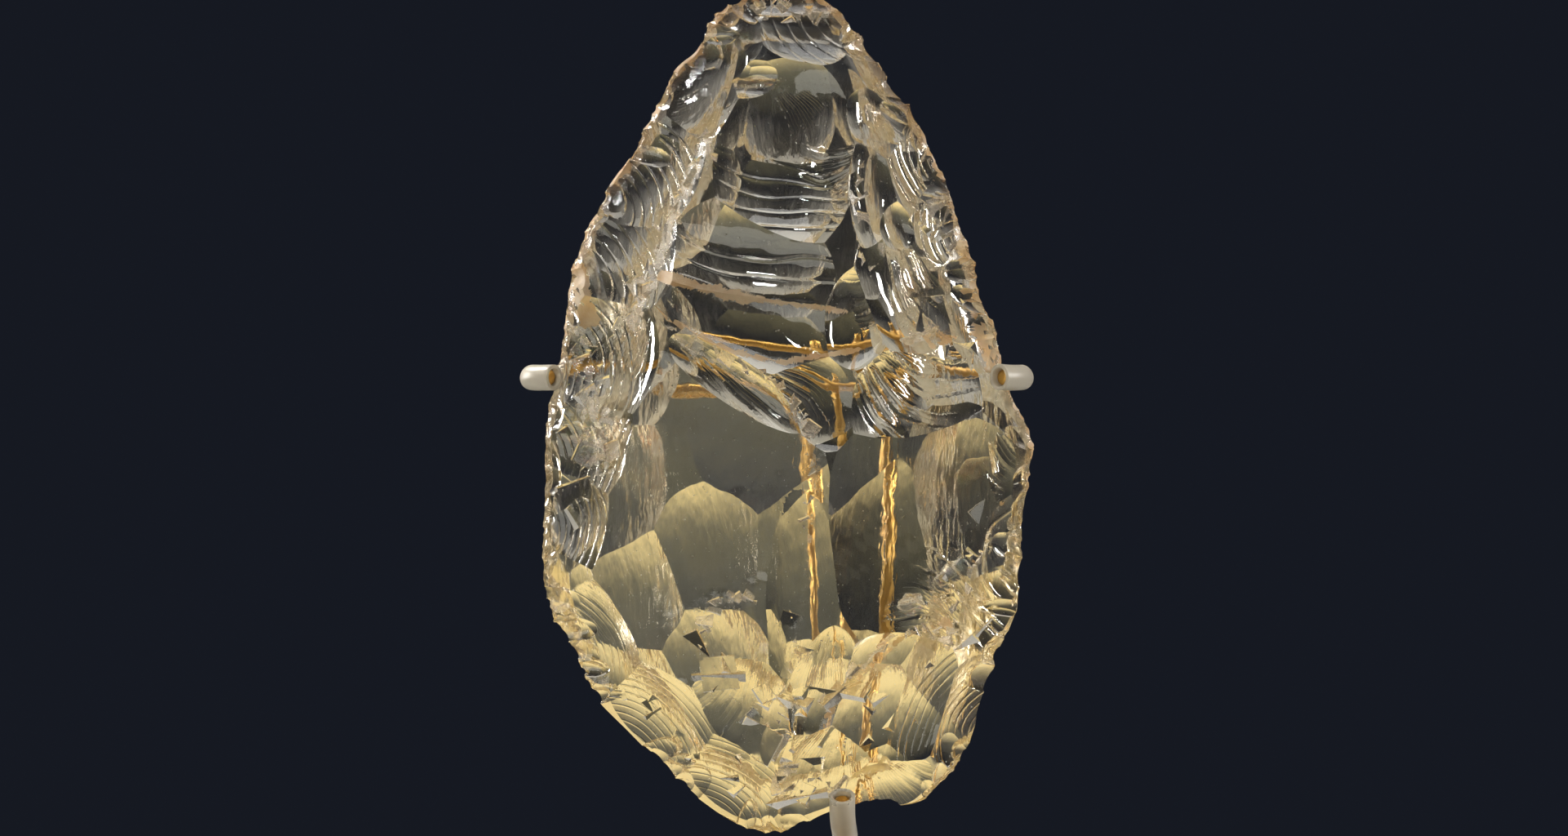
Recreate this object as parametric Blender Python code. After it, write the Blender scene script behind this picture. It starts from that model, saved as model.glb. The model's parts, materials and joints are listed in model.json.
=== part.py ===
"""Knapped rock crystal scraper, held upright in a brass wire cradle on a round foot.

Axes: +X to the right of the flaked front face, -Y towards the viewer of that face, +Z up.
The origin is the middle of the foot's underside. Sizes below are in millimetres and are
turned into metres by MM where a mesh is made.
"""

import math

import bmesh
import bpy
from mathutils import Matrix, Vector

MM = 0.001

# Stone: height and width come from the outline, thickness from the two domes.
STONE_LIFT = 26.0
FRONT_SWELL = 12.0
BACK_SWELL = 9.6
SWELL_POWER = 0.9
RIM_ALLOWANCE = 0.15
STONE_CENTRE = (0.8, 38.0)
OUTLINE_STEPS = 3
DOME_RINGS = (0.97, 0.9, 0.8, 0.66, 0.5, 0.3)
STEEPEST_SLOPE = 1.1
SLOPE_SPAN = 0.6
FINE_SCAR = 7.0
STONE_FACE_SHARE = 0.37

# Wire cradle and its plastic sleeves.
WIRE_RADIUS = 0.8
SLEEVE_OUTER = 1.25
SLEEVE_BORE = 0.9
SLEEVE_OVERHANG = 0.35
ARM_HEIGHT = 44.6
ARM_BEHIND = 9.8
ROD_X = 5.7
ROD_BEHIND = 11.55
ROD_TOP = 47.0
ROUTE_STEP = 1.1

# Foot.
FOOT_RADIUS = 29.0
FOOT_THICKNESS = 4.0
FOOT_CHAMFER = 0.6
FOOT_SIDES = 72
COLLAR_RADIUS = 2.6
COLLAR_HEIGHT = 3.0
SOCKET_CLEARANCE = 0.1
SOCKET_FLOOR = 1.6

# Outline of the stone seen from the front, clockwise from the left of the tip: X, and Z above
# the lowest point of the stone.
OUTLINE = (
    (-5.6, 81.4), (-2.8, 82.0), (0.8, 82.2), (3.6, 81.8), (6.4, 79.3), (9.5, 75.2),
    (12.2, 71.4), (14.1, 66.8), (15.5, 63.7), (16.8, 59.8), (18.2, 56.2), (18.9, 52.7),
    (20.4, 49.2), (21.2, 44.8), (23.6, 39.6), (24.1, 37.6), (23.6, 34.4), (22.9, 29.7),
    (22.8, 26.2), (22.0, 20.3), (20.0, 15.6), (18.0, 9.4), (15.5, 5.1), (12.2, 3.0),
    (6.9, 2.8), (3.2, 1.7), (-0.5, 0.0), (-3.2, 0.2), (-8.1, 3.0), (-13.6, 7.8),
    (-18.4, 12.7), (-20.8, 17.6), (-22.9, 20.7), (-24.1, 25.6), (-23.9, 32.0),
    (-23.8, 38.3), (-23.2, 43.2), (-22.0, 48.4), (-21.4, 54.3), (-19.9, 58.6),
    (-17.7, 62.8), (-15.3, 66.4), (-13.2, 70.8), (-11.0, 74.6), (-8.8, 76.6), (-7.8, 79.3),
)

# Flake scars: name, X, Z, half length, half width, angle of the length from +X in degrees,
# depth below the dome, and how far out the bowl reaches before its walls stand upright.
FRONT_SCARS = (
    ("crushed_tip", -0.6, 81.2, 6.4, 1.8, 0, 0.7, 1.4),
    ("tip_right", 2.4, 77.9, 6.6, 3.4, -8, 1.2, 2.6),
    ("tip_left", -5.0, 77.6, 3.4, 3.4, 10, 0.8, 1.8),
    ("tip_edge", 8.4, 75.2, 5.6, 3.0, -54, 0.6, 1.6),
    ("lens_step", -3.2, 73.4, 3.6, 2.3, -5, 1.9, 2.1),
    ("top_left", -8.8, 71.6, 6.8, 4.4, 70, 1.2, 2.8),
    ("big_top", -0.2, 66.0, 11.2, 8.8, 82, 3.4, 5.6),
    ("lens_right", 9.0, 69.0, 4.2, 3.8, -55, 1.4, 2.4),
    ("right_a", 12.0, 64.8, 6.4, 4.0, -62, 1.0, 2.4),
    ("ridge_facet", 8.4, 62.2, 6.8, 2.8, 84, 2.2, 2.8),
    ("oval_lens", 11.0, 58.8, 3.2, 2.2, -70, 2.0, 2.3),
    ("right_b", 14.4, 58.6, 5.6, 4.0, -70, 1.1, 2.4),
    ("right_c", 12.0, 52.4, 7.6, 6.2, -52, 2.5, 4.2),
    ("right_d", 17.2, 51.0, 7.0, 3.8, -74, 1.0, 2.2),
    ("mid", -2.6, 55.6, 13.0, 6.4, -18, 2.8, 6.0),
    ("mid_low", -2.0, 50.6, 13.4, 5.6, -22, 2.4, 6.0),
    ("notch", 7.0, 50.4, 6.0, 3.8, 60, 1.8, 2.6),
    ("left_a", -12.4, 64.2, 7.4, 5.2, 58, 1.4, 3.2),
    ("left_b", -15.6, 56.0, 7.0, 6.4, 66, 1.6, 3.2),
    ("left_c", -17.2, 47.2, 7.2, 6.6, 80, 1.6, 3.2),
    ("left_d", -18.8, 38.4, 6.8, 5.6, 88, 1.5, 3.0),
    ("left_e", -20.0, 30.2, 6.6, 4.8, 92, 1.2, 2.6),
    ("groove", -4.8, 43.6, 9.2, 2.6, -35, 2.6, 2.8),
    ("hackle_field", 2.6, 42.6, 6.6, 5.0, -24, 1.6, 2.8),
    ("big_left", -7.6, 29.6, 36.0, 24.0, 80, 3.1, 12.0),
    ("big_right", 12.8, 30.0, 20.0, 15.0, 66, 3.0, 9.0),
    ("right_mid", 12.4, 42.6, 9.8, 5.6, 20, 2.6, 3.8),
    ("right_oval", 19.0, 36.6, 6.6, 4.6, -66, 1.4, 2.6),
    ("right_matte", 19.2, 24.8, 10.8, 5.2, 78, 1.4, 2.8),
    ("low_right", 10.6, 13.4, 10.0, 7.8, 42, 3.0, 4.2),
    ("low_right_rim", 16.8, 11.8, 7.0, 4.0, 60, 1.0, 2.2),
    ("low_rim", 10.4, 5.2, 7.2, 3.6, 8, 1.0, 2.2),
    ("low_mid", 2.8, 6.6, 6.4, 5.0, 65, 1.2, 2.6),
    ("low_left_a", -5.0, 6.0, 8.0, 5.2, -35, 1.2, 2.6),
    ("low_left_b", -12.0, 12.0, 8.2, 5.2, -42, 1.2, 2.6),
    ("low_left_c", -17.8, 18.8, 7.4, 4.8, -55, 1.2, 2.6),
    ("low_left_d", -21.2, 24.4, 5.4, 4.0, -78, 0.9, 2.2),
    ("low_glow", -4.4, 13.0, 7.6, 5.8, -70, 2.0, 3.4),
    ("low_centre", 3.2, 14.8, 6.6, 3.6, 84, 2.0, 2.8),
    ("arris_left", -0.4, 26.0, 18.0, 6.0, 94, 2.6, 14.0),
)
BACK_SCARS = (
    ("back_tip", 0.4, 78.6, 6.4, 4.0, 0, 0.8, 2.0),
    ("back_top", 0.4, 70.6, 8.6, 7.0, 84, 2.0, 4.0),
    ("back_top_left", -8.8, 70.2, 7.6, 5.2, 64, 1.0, 2.6),
    ("back_top_right", 9.6, 70.4, 7.6, 5.2, -60, 1.0, 2.6),
    ("back_left_a", -12.6, 60.4, 8.8, 7.2, 62, 1.5, 3.6),
    ("back_right_a", 11.8, 60.0, 8.8, 7.4, -66, 1.5, 3.6),
    ("back_upper", -0.6, 57.6, 10.4, 8.8, 76, 2.4, 5.0),
    ("back_left_b", -15.4, 48.2, 8.8, 8.4, 78, 1.6, 3.8),
    ("back_right_b", 14.2, 47.8, 8.8, 8.4, -74, 1.6, 3.8),
    ("back_centre", -0.2, 42.2, 11.8, 10.4, 104, 2.5, 5.6),
    ("back_left_c", -17.2, 35.6, 10.4, 9.0, 86, 1.5, 9.0),
    ("back_right_c", 16.2, 34.6, 11.0, 9.4, -84, 1.6, 9.0),
    ("back_scallop_a", -6.6, 28.0, 9.0, 7.6, 58, 1.6, 10.0),
    ("back_scallop_b", -15.0, 24.8, 8.4, 7.4, 74, 1.4, 9.0),
    ("back_right_d", 5.6, 27.0, 14.0, 10.4, 84, 2.1, 14.0),
    ("back_right_e", 17.6, 19.8, 10.2, 7.8, 74, 1.3, 9.0),
    ("back_low_left", -13.8, 13.4, 10.0, 8.0, -48, 1.3, 9.0),
    ("back_low_glow", -5.6, 15.6, 9.0, 8.0, -70, 1.7, 10.0),
    ("back_low_mid", 4.2, 12.6, 9.4, 8.0, 80, 1.8, 10.0),
    ("back_low_right", 12.4, 10.2, 9.4, 7.6, 46, 1.3, 9.0),
    ("back_base_left", -6.2, 5.4, 7.8, 4.6, -32, 0.9, 2.4),
    ("back_base_right", 5.0, 5.2, 8.2, 4.6, 12, 0.9, 2.4),
)

# Middle lines of the bent wires: X, Y and Z above the lowest point of the stone.
LEFT_HOOK = (
    (-9.0, 9.2, ARM_HEIGHT), (-16.0, 7.2, ARM_HEIGHT), (-21.4, 4.3, ARM_HEIGHT),
    (-24.3, 2.2, ARM_HEIGHT), (-25.0, 0.1, ARM_HEIGHT), (-24.3, -1.3, ARM_HEIGHT),
    (-23.0, -2.4, ARM_HEIGHT),
)
RIGHT_HOOK = (
    (11.0, 9.2, ARM_HEIGHT), (16.4, 6.9, ARM_HEIGHT), (20.6, 3.9, ARM_HEIGHT),
    (22.5, 2.0, ARM_HEIGHT), (22.85, 0.1, ARM_HEIGHT), (22.1, -1.6, ARM_HEIGHT),
    (20.8, -2.9, ARM_HEIGHT),
)
TOE_HOOK = (
    (5.3, -3.2, 3.6), (5.35, -2.0, 1.9), (5.45, -0.2, 0.7), (5.6, 2.2, 0.0),
    (5.7, 5.6, -1.4), (5.7, 8.4, -3.6), (ROD_X, 9.8, -6.6), (ROD_X, 9.85, -10.0),
    (ROD_X, 9.85, -13.0),
)
SLEEVE_LENGTH = {"left_sleeve": 8.6, "right_sleeve": 8.2, "toe_sleeve": 9.4}

# Colour, roughness, metallic and how clear each material is.
FINISHES = {
    "clear_quartz": ((0.93, 0.89, 0.78), 0.05, 0.0, 1.0),
    "aged_brass": ((0.62, 0.42, 0.14), 0.32, 1.0, 0.0),
    "sleeve_plastic": ((0.74, 0.68, 0.57), 0.35, 0.0, 0.4),
    "satin_brass": ((0.66, 0.5, 0.22), 0.4, 1.0, 0.0),
}


def clear_scene():
    for thing in list(bpy.data.objects):
        bpy.data.objects.remove(thing, do_unlink=True)


def finish(name):
    """The Principled material of this name."""
    found = bpy.data.materials.get(name)
    if found:
        return found
    colour, roughness, metallic, clear = FINISHES[name]
    made = bpy.data.materials.new(name)
    made.use_nodes = True
    shader = made.node_tree.nodes["Principled BSDF"]
    shader.inputs["Base Color"].default_value = (*colour, 1.0)
    shader.inputs["Roughness"].default_value = roughness
    shader.inputs["Metallic"].default_value = metallic
    shader.inputs["Transmission Weight"].default_value = clear
    return made


def add_object(name, data, material):
    made = bpy.data.objects.new(name, data)
    data.materials.append(finish(material))
    bpy.context.scene.collection.objects.link(made)
    return made


def mesh_from(bm, name):
    """A mesh of this closed shape, with its faces pointing out."""
    if bm.calc_volume(signed=True) < 0:
        bmesh.ops.reverse_faces(bm, faces=bm.faces)
    mesh = bpy.data.meshes.new(name)
    bm.to_mesh(mesh)
    bm.free()
    return mesh


def smooth_points(points, steps, closed):
    """Points on a Catmull-Rom curve through these, with this many steps to each stretch."""
    count = len(points)
    stretches = count if closed else count - 1
    found = []
    for index in range(stretches):
        if closed:
            a, b, c, d = (Vector(points[(index + k) % count]) for k in (-1, 0, 1, 2))
        else:
            a, b, c, d = (
                Vector(points[min(max(index + k, 0), count - 1)]) for k in (-1, 0, 1, 2)
            )
        for step in range(steps):
            t = step / steps
            found.append(
                0.5 * (2 * b + (c - a) * t + (2 * a - 5 * b + 4 * c - d) * t**2
                       + (3 * b - a - 3 * c + d) * t**3)
            )
    if not closed:
        found.append(Vector(points[-1]))
    return found


def grown(point):
    """An outline point moved out by what the edge flakes take away again."""
    away = Vector(point) - Vector(STONE_CENTRE)
    return Vector(point) + away.normalized() * RIM_ALLOWANCE


RIM = smooth_points([grown(point) for point in OUTLINE], OUTLINE_STEPS, closed=True)


def rim_reach(x, z):
    """How far the outline is from the stone's centre in the direction of this point."""
    centre = Vector(STONE_CENTRE)
    ray = Vector((x, z)) - centre
    for start, end in zip(RIM, RIM[1:] + RIM[:1]):
        side = end - start
        cross = ray.x * side.y - ray.y * side.x
        if abs(cross) < 1e-9:
            continue
        to_start = start - centre
        along_ray = (to_start.x * side.y - to_start.y * side.x) / cross
        along_side = (to_start.x * ray.y - to_start.y * ray.x) / cross
        if along_ray > 0 and 0 <= along_side <= 1:
            return along_ray * ray.length
    raise ValueError("the outline has no point in that direction")


def dome(x, z, swell):
    """Height of the unflaked dome over the stone's middle plane."""
    reach = math.dist((x, z), STONE_CENTRE)
    if reach == 0:
        return swell
    share = min(reach / rim_reach(x, z), 0.999)
    return swell * (1 - share**2) ** SWELL_POWER


def dome_slope(x, z, swell):
    """How steeply the dome falls towards +X and +Z."""
    fall_x = dome(x - SLOPE_SPAN, z, swell) - dome(x + SLOPE_SPAN, z, swell)
    fall_z = dome(x, z - SLOPE_SPAN, swell) - dome(x, z + SLOPE_SPAN, swell)
    return [
        max(-STEEPEST_SLOPE, min(STEEPEST_SLOPE, fall / (2 * SLOPE_SPAN)))
        for fall in (fall_x, fall_z)
    ]


def stone_blank():
    """The stone before it is flaked: two domes that meet at the outline."""
    bm = bmesh.new()
    centre = Vector(STONE_CENTRE)
    rim = [bm.verts.new((p.x * MM, 0, (p.y + STONE_LIFT) * MM)) for p in RIM]
    for swell, side in ((FRONT_SWELL, -1), (BACK_SWELL, 1)):
        outer = rim
        for share in DOME_RINGS:
            height = swell * (1 - share**2) ** SWELL_POWER
            ring = []
            for point in RIM:
                place = centre + (point - centre) * share
                ring.append(
                    bm.verts.new((place.x * MM, side * height * MM,
                                  (place.y + STONE_LIFT) * MM))
                )
            for k in range(len(ring)):
                after = (k + 1) % len(ring)
                corners = (outer[k], outer[after], ring[after], ring[k])
                bm.faces.new(corners if side < 0 else corners[::-1])
            outer = ring
        top = bm.verts.new((centre.x * MM, side * swell * MM, (centre.y + STONE_LIFT) * MM))
        for k in range(len(outer)):
            corners = (outer[k], outer[(k + 1) % len(outer)], top)
            bm.faces.new(corners if side < 0 else corners[::-1])
    return mesh_from(bm, "rock_crystal")


def scar_cutter(scar, swell, side, collection):
    """The body that a struck flake takes away: an ellipsoid laid on the dome's slope."""
    name, x, z, half_length, half_width, angle, depth, bowl = scar
    slope_x, slope_z = dome_slope(x, z, swell)
    outward = Vector((slope_x, side, slope_z)).normalized()
    turn = math.radians(angle)
    along = Vector((math.cos(turn), 0, math.sin(turn)))
    along = (along - outward * along.dot(outward)).normalized()
    across = outward.cross(along)
    spread = math.sqrt(1 - ((bowl - depth) / bowl) ** 2)
    centre = Vector((x, side * dome(x, z, swell), z + STONE_LIFT)) + outward * (bowl - depth)
    bm = bmesh.new()
    bmesh.ops.create_icosphere(bm, subdivisions=4 if half_length > FINE_SCAR else 3, radius=1)
    turned = Matrix((along, across, outward)).transposed().to_4x4()
    sized = Matrix.Diagonal((half_length / spread, half_width / spread, bowl, 1))
    bm.transform(Matrix.Scale(MM, 4) @ Matrix.Translation(centre) @ turned @ sized)
    cutter = bpy.data.objects.new("cut_" + name, mesh_from(bm, "cut_" + name))
    collection.objects.link(cutter)
    cutter.hide_render = True
    cutter.display_type = "WIRE"


def knap(stone, name, scars, swell, side):
    """Cuts one face's scars out of the stone."""
    collection = bpy.data.collections.new(name)
    bpy.context.scene.collection.children.link(collection)
    for scar in scars:
        scar_cutter(scar, swell, side, collection)
    cut = stone.modifiers.new(name, "BOOLEAN")
    cut.operation = "DIFFERENCE"
    cut.solver = "EXACT"
    cut.operand_type = "COLLECTION"
    cut.collection = collection


def rock_crystal():
    stone = add_object("rock_crystal", stone_blank(), "clear_quartz")
    knap(stone, "front_scars", FRONT_SCARS, FRONT_SWELL, -1)
    knap(stone, "back_scars", BACK_SCARS, BACK_SWELL, 1)
    thin = stone.modifiers.new("thin", "DECIMATE")
    thin.ratio = STONE_FACE_SHARE


def even_route(points):
    """A smooth route through these points, with its points about ROUTE_STEP apart."""
    fine = smooth_points(points, 40, closed=False)
    length = sum((b - a).length for a, b in zip(fine, fine[1:]))
    step = length / round(length / ROUTE_STEP)
    route, run = [fine[0]], 0.0
    for a, b in zip(fine, fine[1:]):
        run += (b - a).length
        if run >= step - 1e-6:
            route.append(b)
            run = 0.0
    if (route[-1] - fine[-1]).length < step / 2:
        route.pop()
    route.append(fine[-1])
    return route


def tube(name, route, radius):
    """Curve data for a round bar along a route, with closed ends."""
    curve = bpy.data.curves.new(name, "CURVE")
    curve.dimensions = "3D"
    curve.bevel_depth = radius * MM
    curve.bevel_resolution = 2
    curve.use_fill_caps = True
    line = curve.splines.new("POLY")
    line.points.add(len(route) - 1)
    for point, place in zip(line.points, route):
        point.co = (place.x * MM, place.y * MM, (place.z + STONE_LIFT) * MM, 1)
    return curve


def end_stretch(route, length):
    """The last stretch of a route, of this length."""
    kept = [route[-1]]
    for place in reversed(route[:-1]):
        gap = (kept[-1] - place).length
        if gap >= length:
            kept.append(kept[-1].lerp(place, length / gap))
            break
        kept.append(place)
        length -= gap
    return kept[::-1]


def pushed_out(route, far):
    """The route with its last point moved on by this much."""
    ahead = (route[-1] - route[-2]).normalized()
    return route[:-1] + [route[-1] + ahead * far]


def sleeve(name, route):
    """A hollow plastic tube over the last stretch of a wire."""
    stretch = pushed_out(end_stretch(route, SLEEVE_LENGTH[name]), SLEEVE_OVERHANG)
    body = add_object(name, tube(name, stretch, SLEEVE_OUTER), "sleeve_plastic")
    longer = pushed_out(pushed_out(stretch[::-1], 1.0)[::-1], 1.0)
    bore = bpy.data.objects.new(name + "_bore", tube(name + "_bore", longer, SLEEVE_BORE))
    bpy.context.scene.collection.objects.link(bore)
    bore.hide_render = True
    bore.display_type = "WIRE"
    return body, bore


def hollowed(body, bore):
    """Turns a sleeve's curve into a mesh with its bore cut out."""
    solids = []
    for thing in (body, bore):
        mesh = bpy.data.meshes.new_from_object(
            thing.evaluated_get(bpy.context.evaluated_depsgraph_get())
        )
        name = thing.name
        hidden = thing.hide_render
        bpy.data.objects.remove(thing, do_unlink=True)
        made = bpy.data.objects.new(name, mesh)
        bpy.context.scene.collection.objects.link(made)
        made.hide_render = hidden
        made.display_type = "WIRE" if hidden else "TEXTURED"
        solids.append(made)
    body, bore = solids
    cut = body.modifiers.new("bore", "BOOLEAN")
    cut.operation = "DIFFERENCE"
    cut.solver = "EXACT"
    cut.object = bore


def cradle():
    """Rod, cross arm with its two hooks, the toe under the stone, and the three sleeves."""
    arm = even_route(tuple(reversed(LEFT_HOOK)) + ((ROD_X, ARM_BEHIND, ARM_HEIGHT),) + RIGHT_HOOK)
    toe = even_route(tuple(reversed(TOE_HOOK)))
    add_object("cradle_arm", tube("cradle_arm", arm, WIRE_RADIUS), "aged_brass")
    add_object("cradle_toe", tube("cradle_toe", toe, WIRE_RADIUS), "aged_brass")
    rod = [
        Vector((ROD_X, ROD_BEHIND, SOCKET_FLOOR + SOCKET_CLEARANCE - STONE_LIFT)),
        Vector((ROD_X, ROD_BEHIND, ROD_TOP)),
    ]
    add_object("cradle_rod", tube("cradle_rod", rod, WIRE_RADIUS), "aged_brass")
    pairs = [sleeve("left_sleeve", arm[::-1]), sleeve("right_sleeve", arm),
             sleeve("toe_sleeve", toe)]
    bpy.context.view_layer.update()
    for body, bore in pairs:
        hollowed(body, bore)


def disc(name, radius, low, high, sides, x=0.0, y=0.0):
    """A round upright solid between two heights."""
    bm = bmesh.new()
    bmesh.ops.create_cone(
        bm, cap_ends=True, segments=sides, radius1=radius * MM, radius2=radius * MM,
        depth=(high - low) * MM,
        matrix=Matrix.Translation(Vector((x, y, (low + high) / 2)) * MM),
    )
    return bm


def foot():
    """Round brass foot with a small collar, drilled for the rod."""
    bm = disc("foot", FOOT_RADIUS, 0, FOOT_THICKNESS, FOOT_SIDES)
    top_rim = [
        edge for edge in bm.edges
        if all(abs(v.co.z - FOOT_THICKNESS * MM) < 1e-7 for v in edge.verts)
    ]
    bmesh.ops.bevel(bm, geom=top_rim, offset=FOOT_CHAMFER * MM, segments=2, profile=0.5,
                    affect="EDGES")
    plate = add_object("foot", mesh_from(bm, "foot"), "satin_brass")
    collar = disc("collar", COLLAR_RADIUS, FOOT_THICKNESS - 1,
                  FOOT_THICKNESS + COLLAR_HEIGHT, 24, ROD_X, ROD_BEHIND)
    socket = disc("socket", WIRE_RADIUS + SOCKET_CLEARANCE, SOCKET_FLOOR,
                  FOOT_THICKNESS + COLLAR_HEIGHT + 1, 24, ROD_X, ROD_BEHIND)
    for name, solid, operation in (("collar", collar, "UNION"), ("socket", socket, "DIFFERENCE")):
        tool = bpy.data.objects.new("foot_" + name, mesh_from(solid, "foot_" + name))
        bpy.context.scene.collection.objects.link(tool)
        tool.hide_render = True
        tool.display_type = "WIRE"
        join = plate.modifiers.new(name, "BOOLEAN")
        join.operation = operation
        join.solver = "EXACT"
        join.object = tool


def main():
    clear_scene()
    foot()
    cradle()
    rock_crystal()


main()
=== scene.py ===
import json
import math
import random
from contextlib import contextmanager

import bmesh
import bpy
import numpy as np
from bpy.props import FloatProperty, FloatVectorProperty, PointerProperty
from mathutils import Euler, Matrix, Quaternion, Vector

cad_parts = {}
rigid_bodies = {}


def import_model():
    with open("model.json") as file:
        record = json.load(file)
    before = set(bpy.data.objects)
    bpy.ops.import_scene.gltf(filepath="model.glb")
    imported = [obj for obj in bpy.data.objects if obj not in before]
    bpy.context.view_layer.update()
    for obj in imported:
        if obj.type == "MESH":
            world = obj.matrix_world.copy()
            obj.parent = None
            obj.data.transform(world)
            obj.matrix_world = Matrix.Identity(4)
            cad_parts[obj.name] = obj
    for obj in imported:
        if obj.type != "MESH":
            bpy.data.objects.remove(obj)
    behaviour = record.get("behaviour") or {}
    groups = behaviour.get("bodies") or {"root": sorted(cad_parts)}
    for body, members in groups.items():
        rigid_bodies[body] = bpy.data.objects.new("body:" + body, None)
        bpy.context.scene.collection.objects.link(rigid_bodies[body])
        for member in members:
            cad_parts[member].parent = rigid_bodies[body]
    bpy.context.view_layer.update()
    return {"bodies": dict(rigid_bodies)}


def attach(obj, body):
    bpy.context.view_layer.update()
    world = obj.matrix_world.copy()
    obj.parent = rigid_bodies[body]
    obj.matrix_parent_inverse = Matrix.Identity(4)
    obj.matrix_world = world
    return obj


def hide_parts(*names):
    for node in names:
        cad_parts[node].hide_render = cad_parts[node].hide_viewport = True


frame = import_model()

bl_info = {
    "name": "Rock Crystal Scraper",
    "version": (1, 0, 0),
    "blender": (4, 5, 0),
    "location": "View3D > Sidebar > Scraper",
    "description": "A knapped rock crystal scraper in its wire cradle",
    "category": "Add Mesh",
}

BODY = next(iter(frame["bodies"]))
MM = 0.001

# The stone's own frame: X to the right of the front face, Z above its lowest point, both in
# millimetres, with the front face at side -1 and the back face at side 1.
STONE_LIFT = 26.0
FRONT_SWELL = 12.0
BACK_SWELL = 9.6
SWELL_POWER = 0.9
RIM_ALLOWANCE = 0.15
STONE_CENTRE = (0.8, 38.0)
OUTLINE_STEPS = 7
BLANK_RINGS = 26
# How far apart the dome's and the flaked faces' slopes are measured, and the steepest allowed.
SLOPE_SPAN = 0.6
STEEPEST_SLOPE = 1.1
FLAKE_SPAN = 0.25
STEEPEST_FLAKE = 1.3
LID_HEIGHT = 3.0

# Middle lines of the bent wires, as the cradle's solids have them: X, Y, and Z above the
# stone's lowest point.
ARM_HEIGHT = 44.6
ARM_BEHIND = 9.8
ROD_X = 5.7
ROD_BEHIND = 11.55

OUTLINE = (
    (-5.6, 81.4), (-2.8, 82), (0.8, 82.2), (3.6, 81.8), (6.4, 79.3), (9.5, 75.2),
    (12.2, 71.4), (14.1, 66.8), (15.5, 63.7), (16.8, 59.8), (18.2, 56.2), (18.9, 52.7),
    (20.4, 49.2), (21.2, 44.8), (23.6, 39.6), (24.1, 37.6), (23.6, 34.4), (22.9, 29.7),
    (22.8, 26.2), (22, 20.3), (20, 15.6), (18, 9.4), (15.5, 5.1), (12.2, 3),
    (6.9, 2.8), (3.2, 1.7), (-0.5, 0), (-3.2, 0.2), (-8.1, 3), (-13.6, 7.8),
    (-18.4, 12.7), (-20.8, 17.6), (-22.9, 20.7), (-24.1, 25.6), (-23.9, 32),
    (-23.8, 38.3), (-23.2, 43.2), (-22, 48.4), (-21.4, 54.3), (-19.9, 58.6),
    (-17.7, 62.8), (-15.3, 66.4), (-13.2, 70.8), (-11, 74.6), (-8.8, 76.6), (-7.8, 79.3),
)

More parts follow.
